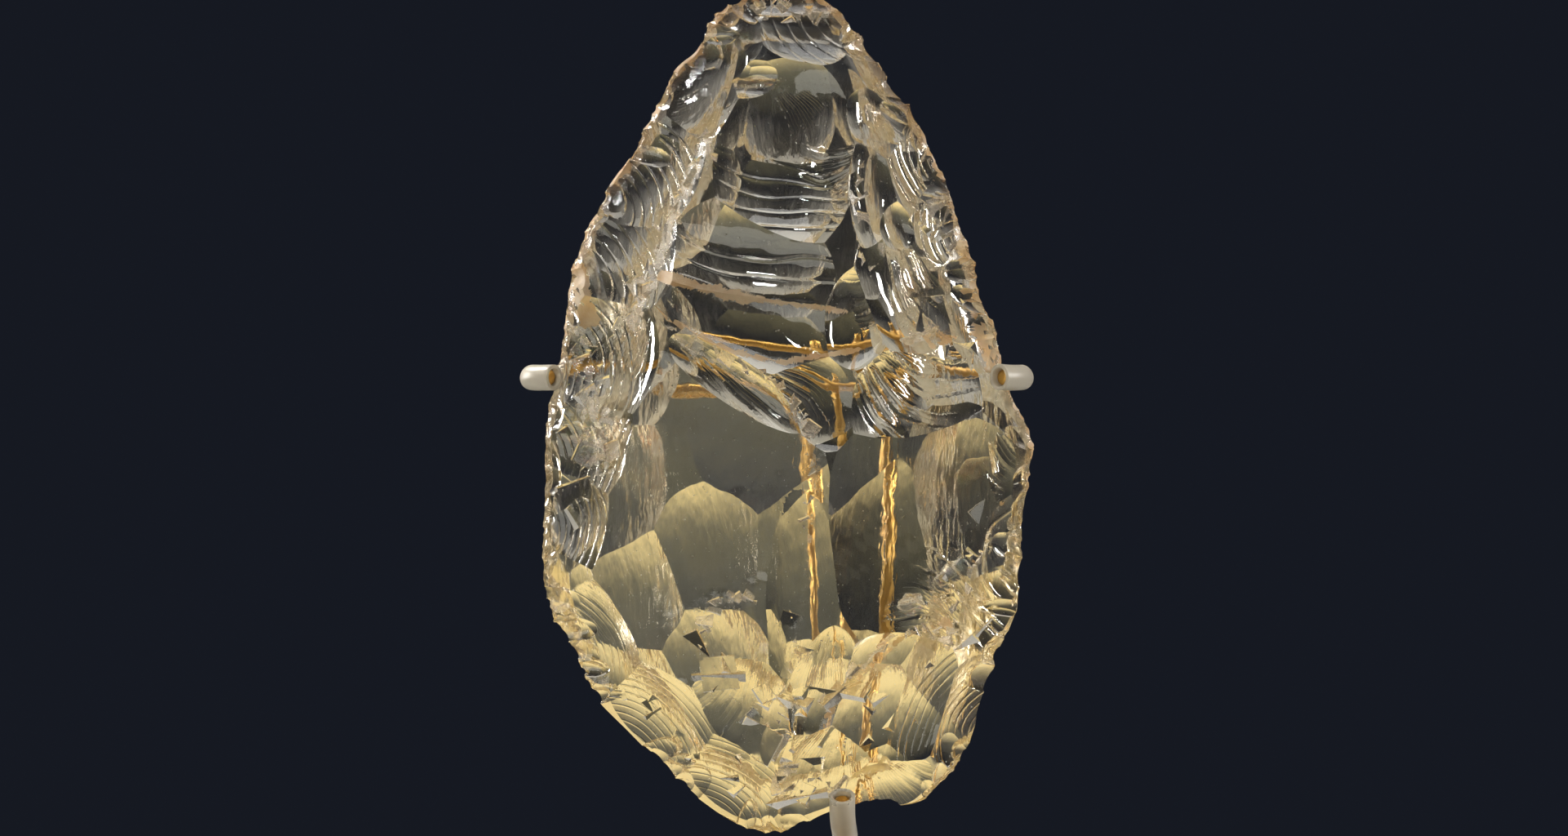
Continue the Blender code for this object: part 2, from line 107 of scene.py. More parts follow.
# Flake scars: name, X, Z, half length, half width, angle of the length from +X in degrees,
# depth below the dome, how far out the bowl reaches, and the fineness of its mesh.
FRONT_SCARS = (
    ("crushed_tip", -0.6, 81.2, 6.4, 1.8, 0, 0.7, 1.4, 0.31),
    ("tip_right", 2.4, 77.9, 6.6, 3.4, -8, 1.2, 2.6, 0.29),
    ("tip_left", -5, 77.6, 3.4, 3.4, 10, 0.8, 1.8, 0.31),
    ("tip_edge", 8.4, 75.2, 5.6, 3, -54, 0.6, 1.6, 0.31),
    ("lens_step", -3.2, 73.4, 3.6, 2.3, -5, 1.9, 2.1, 0.26),
    ("top_left", -8.8, 71.6, 6.8, 4.4, 70, 1.2, 2.8, 0.26),
    ("big_top", -0.2, 66, 11.2, 8.8, 82, 3.4, 5.6, 0.23),
    ("lens_right", 9, 69, 4.2, 3.8, -55, 1.4, 2.4, 0.23),
    ("right_a", 12, 64.8, 6.4, 4, -62, 1, 2.4, 0.29),
    ("ridge_facet", 8.4, 62.2, 6.8, 2.8, 84, 2.2, 2.8, 0.26),
    ("oval_lens", 11, 58.8, 3.2, 2.2, -70, 2, 2.3, 0.26),
    ("right_b", 14.4, 58.6, 5.6, 4, -70, 1.1, 2.4, 0.29),
    ("right_c", 12, 52.4, 7.6, 6.2, -52, 2.5, 4.2, 0.21),
    ("right_d", 17.2, 51, 7, 3.8, -74, 1, 2.2, 0.29),
    ("mid", -2.6, 55.6, 13, 6.4, -18, 2.8, 6, 0.26),
    ("mid_low", -2, 50.6, 13.4, 5.6, -22, 2.4, 6, 0.26),
    ("notch", 7, 50.4, 6, 3.8, 60, 1.8, 2.6, 0.18),
    ("left_a", -12.4, 64.2, 7.4, 5.2, 58, 1.4, 3.2, 0.26),
    ("left_b", -15.6, 56, 7, 6.4, 66, 1.6, 3.2, 0.26),
    ("left_c", -17.2, 47.2, 7.2, 6.6, 80, 1.6, 3.2, 0.26),
    ("left_d", -18.8, 38.4, 6.8, 5.6, 88, 1.5, 3, 0.26),
    ("left_e", -20, 30.2, 6.6, 4.8, 92, 1.2, 2.6, 0.31),
    ("groove", -4.8, 43.6, 9.2, 2.6, -35, 2.6, 2.8, 0.17),
    ("hackle_field", 2.6, 42.6, 6.6, 5, -24, 1.6, 2.8, 0.18),
    ("big_left", -7.6, 29.6, 36, 24, 80, 3.1, 12, 0.38),
    ("big_right", 12.8, 30, 20, 15, 66, 3, 9, 0.25),
    ("right_mid", 12.4, 42.6, 9.8, 5.6, 20, 2.6, 3.8, 0.18),
    ("right_oval", 19, 36.6, 6.6, 4.6, -66, 1.4, 2.6, 0.21),
    ("right_matte", 19.2, 24.8, 10.8, 5.2, 78, 1.4, 2.8, 0.31),
    ("low_right", 10.6, 13.4, 10, 7.8, 42, 3, 4.2, 0.25),
    ("low_right_rim", 16.8, 11.8, 7, 4, 60, 1, 2.2, 0.31),
    ("low_rim", 10.4, 5.2, 7.2, 3.6, 8, 1, 2.2, 0.29),
    ("low_mid", 2.8, 6.6, 6.4, 5, 65, 1.2, 2.6, 0.26),
    ("low_left_a", -5, 6, 8, 5.2, -35, 1.2, 2.6, 0.29),
    ("low_left_b", -12, 12, 8.2, 5.2, -42, 1.2, 2.6, 0.26),
    ("low_left_c", -17.8, 18.8, 7.4, 4.8, -55, 1.2, 2.6, 0.29),
    ("low_left_d", -21.2, 24.4, 5.4, 4, -78, 0.9, 2.2, 0.31),
    ("low_glow", -4.4, 13, 7.6, 5.8, -70, 2, 3.4, 0.23),
    ("low_centre", 3.2, 14.8, 6.6, 3.6, 84, 2, 2.8, 0.23),
    ("arris_left", -0.4, 26, 18, 6, 94, 2.6, 14, 0.3),
)
BACK_SCARS = (
    ("back_tip", 0.4, 78.6, 6.4, 4, 0, 0.8, 2, 0.62),
    ("back_top", 0.4, 70.6, 8.6, 7, 84, 2, 4, 0.57),
    ("back_top_left", -8.8, 70.2, 7.6, 5.2, 64, 1, 2.6, 0.57),
    ("back_top_right", 9.6, 70.4, 7.6, 5.2, -60, 1, 2.6, 0.57),
    ("back_left_a", -12.6, 60.4, 8.8, 7.2, 62, 1.5, 3.6, 0.57),
    ("back_right_a", 11.8, 60, 8.8, 7.4, -66, 1.5, 3.6, 0.57),
    ("back_upper", -0.6, 57.6, 10.4, 8.8, 76, 2.4, 5, 0.57),
    ("back_left_b", -15.4, 48.2, 8.8, 8.4, 78, 1.6, 3.8, 0.57),
    ("back_right_b", 14.2, 47.8, 8.8, 8.4, -74, 1.6, 3.8, 0.57),
    ("back_centre", -0.2, 42.2, 11.8, 10.4, 104, 2.5, 5.6, 0.62),
    ("back_left_c", -17.2, 35.6, 10.4, 9, 86, 1.5, 9, 0.57),
    ("back_right_c", 16.2, 34.6, 11, 9.4, -84, 1.6, 9, 0.57),
    ("back_scallop_a", -6.6, 28, 9, 7.6, 58, 1.6, 10, 0.55),
    ("back_scallop_b", -15, 24.8, 8.4, 7.4, 74, 1.4, 9, 0.57),
    ("back_right_d", 5.6, 27, 14, 10.4, 84, 2.1, 14, 0.62),
    ("back_right_e", 17.6, 19.8, 10.2, 7.8, 74, 1.3, 9, 0.57),
    ("back_low_left", -13.8, 13.4, 10, 8, -48, 1.3, 9, 0.57),
    ("back_low_glow", -5.6, 15.6, 9, 8, -70, 1.7, 10, 0.57),
    ("back_low_mid", 4.2, 12.6, 9.4, 8, 80, 1.8, 10, 0.57),
    ("back_low_right", 12.4, 10.2, 9.4, 7.6, 46, 1.3, 9, 0.57),
    ("back_base_left", -6.2, 5.4, 7.8, 4.6, -32, 0.9, 2.4, 0.57),
    ("back_base_right", 5, 5.2, 8.2, 4.6, 12, 0.9, 2.4, 0.57),
)

# Ripples left by the blow: scar, X and Z that they spread from, nearest and furthest reach,
# distance between crests, and crest height.
RIPPLES = (
    ("big_top", 3, 88, 22.5, 31.5, 1.55, 0.035),
    ("mid", 2, 84, 26, 33, 1.9, 0.035),
    ("tip_right", 9.5, 84, 6, 14, 1.2, 0.03),
    ("left_a", -18, 61, 2, 11, 1, 0.045),
    ("left_b", -23, 53, 2.5, 12, 1.15, 0.045),
    ("left_c", -25, 45, 2, 11, 0.9, 0.04),
    ("left_d", -25.5, 37, 2, 10, 0.8, 0.03),
    ("left_e", -25.5, 30, 2, 9, 0.8, 0.03),
    ("right_a", 18, 67, 2, 9, 0.9, 0.05),
    ("right_b", 20, 60, 2, 9, 0.9, 0.05),
    ("right_matte", 25.5, 27, 2, 12, 1.6, 0.04),
    ("low_right", 22, 8, 3, 12, 0.7, 0.02),
    ("low_right_rim", 22, 9, 2, 9, 0.7, 0.025),
    ("low_left_b", -17.5, 5.5, 3, 12, 0.7, 0.015),
    ("low_left_a", -9, -1, 3, 12, 0.7, 0.015),
    ("low_left_c", -24, 16, 2, 9, 0.7, 0.015),
)

# Where a row holds the crest height, the height that draws at full strength, and how narrow
# the crests are.
RIPPLE_HEIGHT = 6
RIPPLE_FULL = 0.05
CREST_SHARPNESS = 2.2

# Hackles, the fine torn lines that fan out from a point: scar, X and Z of that point, first and
# last direction in degrees, nearest and furthest reach, line spacing at mid reach, height, and
# how much the lines curl over their length in degrees.
HACKLES = (
    ("big_top", 11.5, 66.5, 178, 232, 3.4, 11.5, 1.1, 0.14, 24),
    ("big_top", -3, 76.5, 292, 322, 3, 12, 0.85, 0.05, 10),
    ("mid", 12, 58.5, 176, 214, 3, 8.5, 0.94, 0.08, 20),
    ("mid_low", 12, 54, 176, 214, 3, 9.5, 0.94, 0.08, 20),
    ("notch", 12.2, 55.5, 175, 250, 2, 9, 1.35, 0.18, 26),
    ("top_left", -5, 74.5, 205, 262, 2, 9, 0.85, 0.06, 12),
    ("right_c", 7.6, 61.5, -76, -36, 4, 16, 1.35, 0.26, -16),
    ("right_mid", 2, 50.5, -62, -6, 4, 19, 1.35, 0.32, -26),
    ("hackle_field", -9.5, 49, -56, -12, 5, 18, 1.35, 0.22, 22),
    ("groove", -14.5, 52.5, -50, -30, 4, 22, 0.94, 0.1, 8),
    ("big_right", 22, 17.5, 112, 168, 4, 14, 1.35, 0.24, -18),
    ("right_oval", 16.6, 43, -84, -34, 3, 11, 1.35, 0.24, -20),
    ("lens_right", 6.4, 73, -82, -30, 2, 8, 1, 0.11, -14),
    ("low_left_b", -24, 26, -62, -22, 6, 20, 0.8, 0.05, 10),
    ("low_left_c", -26, 30, -72, -30, 6, 18, 0.8, 0.05, 10),
    ("low_glow", 1, 26, 222, 262, 5, 22, 1.1, 0.07, 14),
    ("low_centre", 4, 23, 236, 300, 2, 14, 0.9, 0.08, -18),
    ("low_mid", 5, 14, 226, 290, 3, 12, 0.9, 0.09, -22),
    ("low_rim", 6, 10, 280, 350, 3, 12, 1, 0.08, -14),
    ("left_d", -13, 44, 200, 262, 3, 11, 1, 0.1, 16),
    ("left_c", -11, 54, 205, 250, 4, 13, 1.2, 0.1, 12),
    ("right_matte", 16, 36, 268, 300, 4, 20, 1.5, 0.06, 6),
)

# Where a row holds the height, the height that draws at full strength, and a hackle's section:
# the share of the spacing that it rises over, how it falls away, and its height over the row's.
HACKLE_HEIGHT = 8
HACKLE_FULL = 0.24
HACKLE_RISE = 0.22
HACKLE_FALL = 1.3
HACKLE_GAIN = 1.4
# Slow waves on every scar: height, size across, and what is added to the scar's seed.
SCAR_WAVES = ((0.05, 2.6, 0), (0.012, 0.7, 5))

# Ridges crushed into chips: points along them, chip half length, distance apart, and how far
# the chips stray to either side.
CRUSHED_LINES = (
    (((-7.4, 68.4), (-9.4, 64.4), (-11.2, 60.4), (-13.2, 55.4), (-15.4, 50)), 0.75, 0.42, 0.8),
    (((-12, 50.2), (-8.4, 47.6), (-4, 45.6), (0, 43), (2.4, 39)), 0.55, 0.5, 0.5),
    (((-6, 80.6), (-3, 80.9), (0.4, 80.8), (3.6, 80)), 0.8, 0.34, 0.9),
    (((7.2, 67), (6.8, 62), (7, 57), (8.8, 55.4)), 0.5, 0.6, 0.4),
    (((15.4, 18.6), (13.6, 20.2), (10.4, 19.4), (6.6, 16.4), (3.6, 12)), 0.5, 0.5, 0.35),
    (((20.6, 31), (18.2, 26), (16.2, 21.2), (15.4, 18.6)), 0.5, 0.6, 0.35),
    (((-8.6, 22), (-6.6, 23), (-3.6, 23.4)), 0.6, 0.45, 0.6),
    (((-9.2, 19.2), (-7.6, 20.8)), 0.5, 0.4, 0.5),
    (((-1, 14), (-0.4, 9), (-0.2, 3)), 0.7, 0.42, 0.9),
    (((0.6, 3.4), (3.4, 4.4), (6.2, 4.6)), 0.7, 0.4, 0.9),
    (((2.4, 38.6), (2, 34), (1.6, 30)), 0.45, 0.7, 0.3),
    (((-19, 44), (-17.6, 40), (-17.6, 36)), 0.7, 0.5, 1.1),
    (((14.6, 62), (16, 58), (17.4, 53)), 0.7, 0.5, 0.9),
)
# Where larger, clear chips broke away: the same columns.
BROKEN_LINES = (
    (((-7, 19), (-4, 14), (-3, 9), (-5, 5)), 1.3, 0.9, 3.4),
    (((1, 20), (2.6, 14), (3, 9), (1.6, 4.4)), 1.2, 0.9, 2.6),
    (((7, 17), (10, 11), (11, 6)), 1.1, 1.5, 3),
    (((-16, 16), (-12, 11), (-8, 7)), 1, 1.6, 2.6),
    (((18, 31), (17, 24), (17, 16)), 1, 1.5, 2.4),
    (((-19.6, 50), (-19, 44), (-19.4, 37), (-20.4, 31)), 1, 1, 1.6),
    (((13, 63), (14.6, 57), (15, 51), (16, 45)), 1, 1.1, 2.4),
)

# Retouch along the rim: how far apart the small flakes are, the range of their half length and
# half width, their depth, and how far in from the rim they lie.
RETOUCH_ROWS = (
    (1.3, (0.7, 1.5), (0.5, 1.1), (0.14, 0.32), 0.1),
    (2.6, (2, 3.6), (0.9, 1.8), (0.25, 0.42), 0.5),
)
FLAKE_SIDES = 8
FLAKE_REACH = 1.7
# The stone's least thickness where a flake may be struck, and the most triangles it may have.
THINNEST_EDGE = 1.1
STONE_TRIANGLES = 192000
# What a face's number says where it isn't the place of a scar in the tables.
NO_SCAR = -1
CHIP = 998
VEIL = 999
# Cracks inside the stone: X, Y, Z of the middle, half length, half width, and turns in degrees
# about X, Y and Z.
VEILS = (
    (-20.4, -0.8, 47.6, 1.9, 1.1, 28, 12, 20), (-19.6, -1.6, 45.2, 1.6, 1, -20, 24, -16),
    (-18.6, -1.4, 41.4, 2.2, 1.3, 24, -18, 30), (-20.6, -0.4, 39.2, 1.7, 1.2, -30, 10, -24),
    (-19.2, -1.8, 37, 1.5, 0.9, 18, 30, 12), (-16.8, -3.2, 49.8, 1.9, 0.9, 34, -10, 40),
    (-11.4, -3.4, 60.6, 1.7, 0.8, 22, 40, -30), (-9, -4, 65.4, 1.8, 0.8, -24, 34, 22),
    (-4.8, -0.9, 77.4, 1.8, 1.2, 16, 20, 12), (-3, -1.4, 73.4, 2.3, 0.9, 38, 0, 8),
    (15.6, -2.6, 25.8, 2, 0.9, 20, -34, 24), (11.8, -4.2, 22.8, 1.8, 1, 30, -20, -36),
    (17.8, -1.6, 35.6, 2, 1.2, -22, -28, 18), (12.6, -4.6, 48.6, 2.4, 1, 30, -16, 34),
    (-0.6, -4.8, 10, 1.8, 0.8, 24, 8, -20), (1.6, -2.6, 4.6, 1.9, 0.9, 30, -12, 28),
)
VEIL_THICKNESS = 0.035
RETOUCH_SEED = 7
CHIP_SEED = 11
WEAR_ANGLE = math.radians(14)
WEAR_FULL = math.radians(70)
BACK_WEAR = 0.1
BACK_DEPTH = (0, 0.003)
QUARTZ_INDEX = 1.544
QUARTZ_BOUNCES = 24

# Marks on the front face: points of a line, half width and strength.
STAIN_AND_LIT_BAND_MARKS = (
    # Rows one and two are no stain: they paint a tan band where light falls on the step riser at
    # the foot of mid, a painted highlight.
    (((-12.2, 54.4), (-8, 53.1), (-4, 52.2)), 0.7, 1.25),
    (((-4, 52.2), (1, 51.5), (5.6, 50.8)), 0.35, 1.1),
    (((-12.2, 50.6), (-8, 48.2), (-5, 46.9), (-0.4, 46), (6.8, 47.2)), 0.35, 1.1),
    (((-20.4, 55.6), (-19.4, 50.4)), 1.5, 1),
    (((16.8, 58.6), (18.4, 52), (20, 46)), 1.3, 0.9),
    (((12, 48), (15.8, 48.6)), 1.2, 0.7),
    (((16.6, 19), (15.4, 21), (18, 26), (21, 32)), 0.7, 0.5),
    (((15.6, 20.6), (11.6, 19.8), (7.6, 16.2), (4.4, 12.6), (2.8, 9.6)), 0.55, 0.7),
    (((-9, 19), (-5, 15), (-2, 11)), 1.2, 0.25),
    (((0.2, 8), (4.4, 6.4)), 1.6, 0.3),
)
FROST_MARKS = (
    (((-7.6, 67.2), (-10.8, 61), (-12.4, 56), (-15.2, 49.6)), 0.9, 1),
    (((-20.6, 48.6), (-19.4, 42), (-18, 36)), 1.5, 0.9),
    (((-10.8, 48), (-6, 45.6), (-1, 43.4), (2, 38.4)), 0.5, 0.8),
    (((1.6, 81), (3.6, 80)), 1, 0.9),
    (((-5, 73), (-0.4, 72.6)), 0.5, 0.8),
    (((2.8, 36.8), (1.6, 24), (0, 15.2), (-0.4, 2)), 0.35, 0.6),
    (((-18.8, 15.4), (-18, 15)), 0.7, 0.9),
    (((-9, 22), (-6.4, 23), (-3.6, 23.2)), 0.6, 0.7),
    (((9, 57.4), (9.2, 56.6)), 0.5, 1),
)
SOOT_MARKS = (
    (((-19.4, 56), (-18.4, 53.4), (-17.6, 51)), 0.55, 0.9),
    (((-16.8, 54.6), (-16, 52.6)), 0.4, 0.7),
    (((-4.6, 78), (4.6, 77.2)), 2, 0.25),
)

LEFT_HOOK = (
    (-9, 9.2, ARM_HEIGHT), (-16, 7.2, ARM_HEIGHT), (-21.4, 4.3, ARM_HEIGHT),
    (-24.3, 2.2, ARM_HEIGHT), (-25, 0.1, ARM_HEIGHT), (-24.3, -1.3, ARM_HEIGHT),
    (-23, -2.4, ARM_HEIGHT),
)
RIGHT_HOOK = (
    (11, 9.2, ARM_HEIGHT), (16.4, 6.9, ARM_HEIGHT), (20.6, 3.9, ARM_HEIGHT),
    (22.5, 2, ARM_HEIGHT), (22.85, 0.1, ARM_HEIGHT), (22.1, -1.6, ARM_HEIGHT),
    (20.8, -2.9, ARM_HEIGHT),
)
TOE_HOOK = (
    (5.3, -3.2, 3.6), (5.35, -2, 1.9), (5.45, -0.2, 0.7), (5.6, 2.2, 0),
    (5.7, 5.6, -1.4), (5.7, 8.4, -3.6), (ROD_X, 9.8, -6.6), (ROD_X, 9.85, -10),
    (ROD_X, 9.85, -13),
)
ROD_FROM = -24.3
ROD_TOP = 47.0
WIRE_STEP = 0.7
# How far back from a wire's tip each of its last rings lies, and its radius there, both as
# shares of the wire's radius.
WIRE_END = ((0.0, 0.55), (0.08, 0.8), (0.22, 0.94), (0.5, 1.0))
SOLDER = (
    ("arm_solder", (ROD_X, 10.7, ARM_HEIGHT), (1.35, 1.3, 1.15)),
    ("toe_solder_top", (ROD_X, 10.75, -8.4), (0.95, 1.1, 1.9)),
    ("toe_solder_low", (ROD_X, 10.75, -11.6), (0.95, 1.1, 1.7)),
)
SLEEVE_SIDES = 40
SLEEVE_STEP = 0.3
SLEEVE_OVERHANG = 0.35
# From what angle an edge shows sharp on the wires and sleeves, and on the foot.
DRAWN_ANGLE = math.radians(50)
TURNED_ANGLE = math.radians(28)

# The floor's radius, how far behind the stone its back edge is, and its gap below the foot.
FLOOR_RADIUS = 0.6
FLOOR_BACK = 0.17
FLOOR_GAP = 0.0001
CAMERA_LENS = 100
CAMERA_PLACE = (-0.00036, -0.4267, 0.06664)
# Name, place, aim, width, height, glare, beam in degrees, whether it shows through the quartz,
# and colour of each light.
LIGHTS = (
    ("key", (-0.3, 0.22, 0.42), (0, 0, 0.066), 0.06, 0.06, 2.5, 16, False, (1, 0.97, 0.92)),
    ("left_rake", (-0.4, 0.16, 0.16), (0, 0, 0.08), 0.04, 0.2, 6, 60, True, (1, 0.98, 0.95)),
    ("right_rake", (0.42, -0.04, 0.2), (0, 0, 0.08), 0.04, 0.2, 6, 60, True, (1, 0.97, 0.93)),
    ("glint", (-0.17, -0.37, 0.37), (0, 0, 0.09), 0.04, 0.04, 1.6, 24, False, (1, 0.98, 0.96)),
    ("overhead", (0, -0.1, 0.8), (0, -0.1, 0), 0.5, 0.5, 3.6, 180, False, (1, 0.99, 0.96)),
    ("soft", (-0.15, -0.23, 0.06), (0, 0, 0.06), 0.28, 0.11, 2.6, 180, False, (1, 0.98, 0.88)),
)
# What the quartz shows of its surroundings, by the direction looked in: how the haze rises
# with height and from the left to the middle, how the ground comes in below and brightens to
# the sides, how the glow rises and fades towards the front, and how the grey fill grows there.
HAZE_RISE = (-0.16, 0.12)
HAZE_SIDE = (-0.6, -0.15)
GROUND_FALL = (-0.14, -0.32)
GROUND_SIDE = (0.08, 0.6)
GLOW_RISE = (0.12, 0.5)
GLOW_BEHIND = (-0.2, 0.4, 0.3, 1.0)
FRONT_FILL = (0.1, -0.6, 0.0, 1.0)


def clear_selection():
    if bpy.context.object and bpy.context.object.mode != "OBJECT":
        bpy.ops.object.mode_set(mode="OBJECT")
    bpy.ops.object.select_all(action="DESELECT")


def pick(thing):
    """Makes this object the only one selected, and the active one."""
    clear_selection()
    thing.select_set(True)
    bpy.context.view_layer.objects.active = thing


def points_of(thing):
    found = np.empty(len(thing.data.vertices) * 3)
    thing.data.vertices.foreach_get("co", found)
    return found.reshape(-1, 3)


def put_points(thing, points):
    thing.data.vertices.foreach_set("co", np.asarray(points, float).ravel())
    thing.data.update()


def smooth_points(points, steps, closed):
    """Points on a Catmull-Rom curve through these, with this many steps to each stretch."""
    count = len(points)
    found = []
    for index in range(count if closed else count - 1):
        near = (index + k for k in (-1, 0, 1, 2))
        near = (k % count if closed else min(max(k, 0), count - 1) for k in near)
        a, b, c, d = (Vector(points[k]) for k in near)
        for step in range(steps):
            t = step / steps
            found.append(0.5 * (2 * b + (c - a) * t + (2 * a - 5 * b + 4 * c - d) * t**2
                                + (3 * b - a - 3 * c + d) * t**3))
    return found if closed else found + [Vector(points[-1])]


def grown(point):
    """A point of the outline, moved outward to leave room for the retouch."""
    away = Vector(point) - Vector(STONE_CENTRE)
    return Vector(point) + away.normalized() * RIM_ALLOWANCE


RIM = smooth_points([grown(point) for point in OUTLINE], OUTLINE_STEPS, closed=True)
RIM_OUT = np.array(RIM) - np.array(STONE_CENTRE)
RIM_TURN = np.arctan2(RIM_OUT[:, 1], RIM_OUT[:, 0])
RIM_ORDER = np.argsort(RIM_TURN)
RIM_REACH = np.hypot(RIM_OUT[:, 0], RIM_OUT[:, 1])


def rim_share(x, z):
    """How far points are from the stone's centre, as a share of the way to the outline."""
    out_x, out_z = np.asarray(x) - STONE_CENTRE[0], np.asarray(z) - STONE_CENTRE[1]
    reach = np.interp(np.arctan2(out_z, out_x), RIM_TURN[RIM_ORDER], RIM_REACH[RIM_ORDER],
                      period=2 * math.pi)
    return np.hypot(out_x, out_z) / reach


def dome(x, z, swell):
    """Height of the unflaked dome over the stone's middle plane."""
    return swell * (1 - np.minimum(rim_share(x, z), 0.999) ** 2) ** SWELL_POWER


def falls(height, x, z, span, steepest):
    """How steeply a height falls towards +X and +Z, up to a limit."""
    pairs = ((height(x - span, z), height(x + span, z)),
             (height(x, z - span), height(x, z + span)))
    return [max(-steepest, min(steepest, (low - high) / (2 * span))) for low, high in pairs]


def spread_at(depth, reach):
    """How wide a bowl of this reach is where it is cut at this depth, as a share of all."""
    return math.sqrt(1 - ((reach - depth) / reach) ** 2)


class Bowl:
    """The place and size of one flake scar: part of an ellipsoid laid on the dome's slope."""

    def __init__(self, scar, swell, side):
        self.name, x, z, half_length, half_width, angle, depth, reach, self.fineness = scar
        self.side = side
        slope_x, slope_z = falls(lambda a, b: float(dome(a, b, swell)), x, z, SLOPE_SPAN,
                                 STEEPEST_SLOPE)
        self.outward = np.array(Vector((slope_x, side, slope_z)).normalized())
        turn = math.radians(angle)
        along = np.array((math.cos(turn), 0, math.sin(turn)))
        along -= self.outward * along.dot(self.outward)
        self.along = along / np.linalg.norm(along)
        self.across = np.cross(self.outward, self.along)
        spread = spread_at(depth, reach)
        self.length, self.width, self.reach = half_length / spread, half_width / spread, reach
        surface = np.array((x, side * float(dome(x, z, swell)), z))
        self.centre = surface + self.outward * (reach - depth)

    def height(self, x, z):
        """Height of the bowl's floor over the middle plane, or None beside the bowl."""
        axes = np.stack((self.along / self.length, self.across / self.width,
                         self.outward / self.reach))
        step = axes @ np.array((0.0, self.side, 0.0))
        start = axes @ (np.array((x, 0.0, z)) - self.centre)
        a, b, c = step @ step, 2 * step @ start, start @ start - 1
        inside = b * b - 4 * a * c
        return (-b - math.sqrt(inside)) / (2 * a) if inside > 0 else None


FRONT = [Bowl(scar, FRONT_SWELL, -1) for scar in FRONT_SCARS]
BACK = [Bowl(scar, BACK_SWELL, 1) for scar in BACK_SCARS]


def face_height(x, z, side):
    """Height of one flaked face over the stone's middle plane."""
    height = float(dome(x, z, FRONT_SWELL if side < 0 else BACK_SWELL))
    for bowl in FRONT if side < 0 else BACK:
        floor = bowl.height(x, z)
        if floor is not None:
            height = min(height, floor)
    return height


def ridge(phase, sharpness):
    """A row of narrow crests, one for each whole step of phase, from 0 up to 1."""
    return (0.5 + 0.5 * np.cos(2 * math.pi * phase)) ** sharpness


def ease(low, high, value):
    """Rises smoothly from 0 at low to 1 at high."""
    t = np.clip((value - low) / (high - low), 0, 1)
    return t * t * (3 - 2 * t)


def waver(x, z, scale, seed):
    """A slow uneven wave between about -1 and 1."""
    x, z = x / scale, z / scale
    return (np.sin(x * 1.7 + z * 0.6 + seed * 1.3) + np.sin(z * 1.9 - x * 0.8 + seed * 2.1)
            + np.sin((x + z) * 2.7 + seed * 0.7) * 0.6) / 2.6


def seed_of(name):
    """A number for a scar's name, so that no two scars break in the same pattern."""
    return sum(name.encode()) % 97


def ripple_field(row, x, z):
    """Which crest each place lies on, counted in whole steps, and how strong it is there."""
    name, from_x, from_z, near, far, gap = row[:RIPPLE_HEIGHT]
    seed = seed_of(name)
    reach = np.hypot(x - from_x, z - from_z) + 0.35 * gap * waver(x, z, 3.0, seed + 3)
    fade = ease(near, near + 1.5 * gap, reach) * (1 - ease(far - gap, far, reach))
    return reach / gap, fade * (0.65 + 0.35 * waver(x, z, 1.8, seed + 9))


def hackle_field(row, x, z):
    """Which hackle each place lies on, counted in whole steps, and how strong it is there."""
    name, from_x, from_z, start, end, near, far, gap = row[:HACKLE_HEIGHT]
    seed = seed_of(name)
    out_x, out_z = x - from_x, z - from_z
    part = (np.hypot(out_x, out_z) - near) / (far - near)
    turn = np.arctan2(out_z, out_x) - math.radians((start + end) / 2)
    turn = (turn + math.pi) % (2 * math.pi) - math.pi
    turn = turn + math.radians(row[-1]) * (part - 0.5) ** 2 * 2
    beside = np.abs(turn) / math.radians(abs(end - start) / 2)
    lines = turn * (near + far) / 2 / gap
    lines = lines + 0.3 * waver(x, z, 3.0, seed + 13) + 0.06 * waver(x, z, 0.9, seed + 17)
    count = np.floor(lines)
    late, early, strong = ((np.sin(count * factor + seed) * 97.3) % 1.0
                           for factor in (12.99, 78.23, 39.42))
    fade = ease(0, 0.12, part - 0.3 * late) * (1 - ease(0.7, 1, part + 0.3 * early))
    return lines, fade * (1 - ease(0.8, 1, beside)) * (0.35 + 0.65 * strong)


def relief(name, x, z):
    """How far the broken surface stands proud of a scar's smooth bowl."""
    seed = seed_of(name)
    rise = sum(high * waver(x, z, across, seed + more) for high, across, more in SCAR_WAVES)
    for row in RIPPLES:
        if row[0] == name:
            phase, fade = ripple_field(row, x, z)
            rise = rise + row[RIPPLE_HEIGHT] * fade * ridge(phase, CREST_SHARPNESS)
    for row in HACKLES:
        if row[0] == name:
            lines, fade = hackle_field(row, x, z)
            tooth = ease(0, HACKLE_RISE, lines % 1.0) * (1 - lines % 1.0) ** HACKLE_FALL
            rise = rise + row[HACKLE_HEIGHT] * HACKLE_GAIN * fade * tooth
    return rise


def to_disc(square):
    """Moves the points of a square from -1 to 1 on to a round disc, evenly."""
    a, b = square[:, 0], square[:, 1]
    wide = np.abs(a) > np.abs(b)
    big = np.where(wide, a, b)
    safe = np.where(big == 0, 1.0, big)
    turn = np.where(wide, math.pi / 4 * b / safe, math.pi / 2 - math.pi / 4 * a / safe)
    return np.stack((big * np.cos(turn), big * np.sin(turn)), -1)


@contextmanager
def editing(thing):
    """Opens a mesh in edit mode with all of it selected, and goes back to object mode."""
    pick(thing)
    bpy.ops.object.mode_set(mode="EDIT")
    bpy.ops.mesh.select_all(action="SELECT")
    yield
    bpy.ops.object.mode_set(mode="OBJECT")


def weld(gap):
    """In edit mode, joins points less than gap millimetres apart and turns the faces out."""
    bpy.ops.mesh.select_all(action="SELECT")
    bpy.ops.mesh.remove_doubles(threshold=gap * MM)
    bpy.ops.mesh.normals_make_consistent(inside=False)


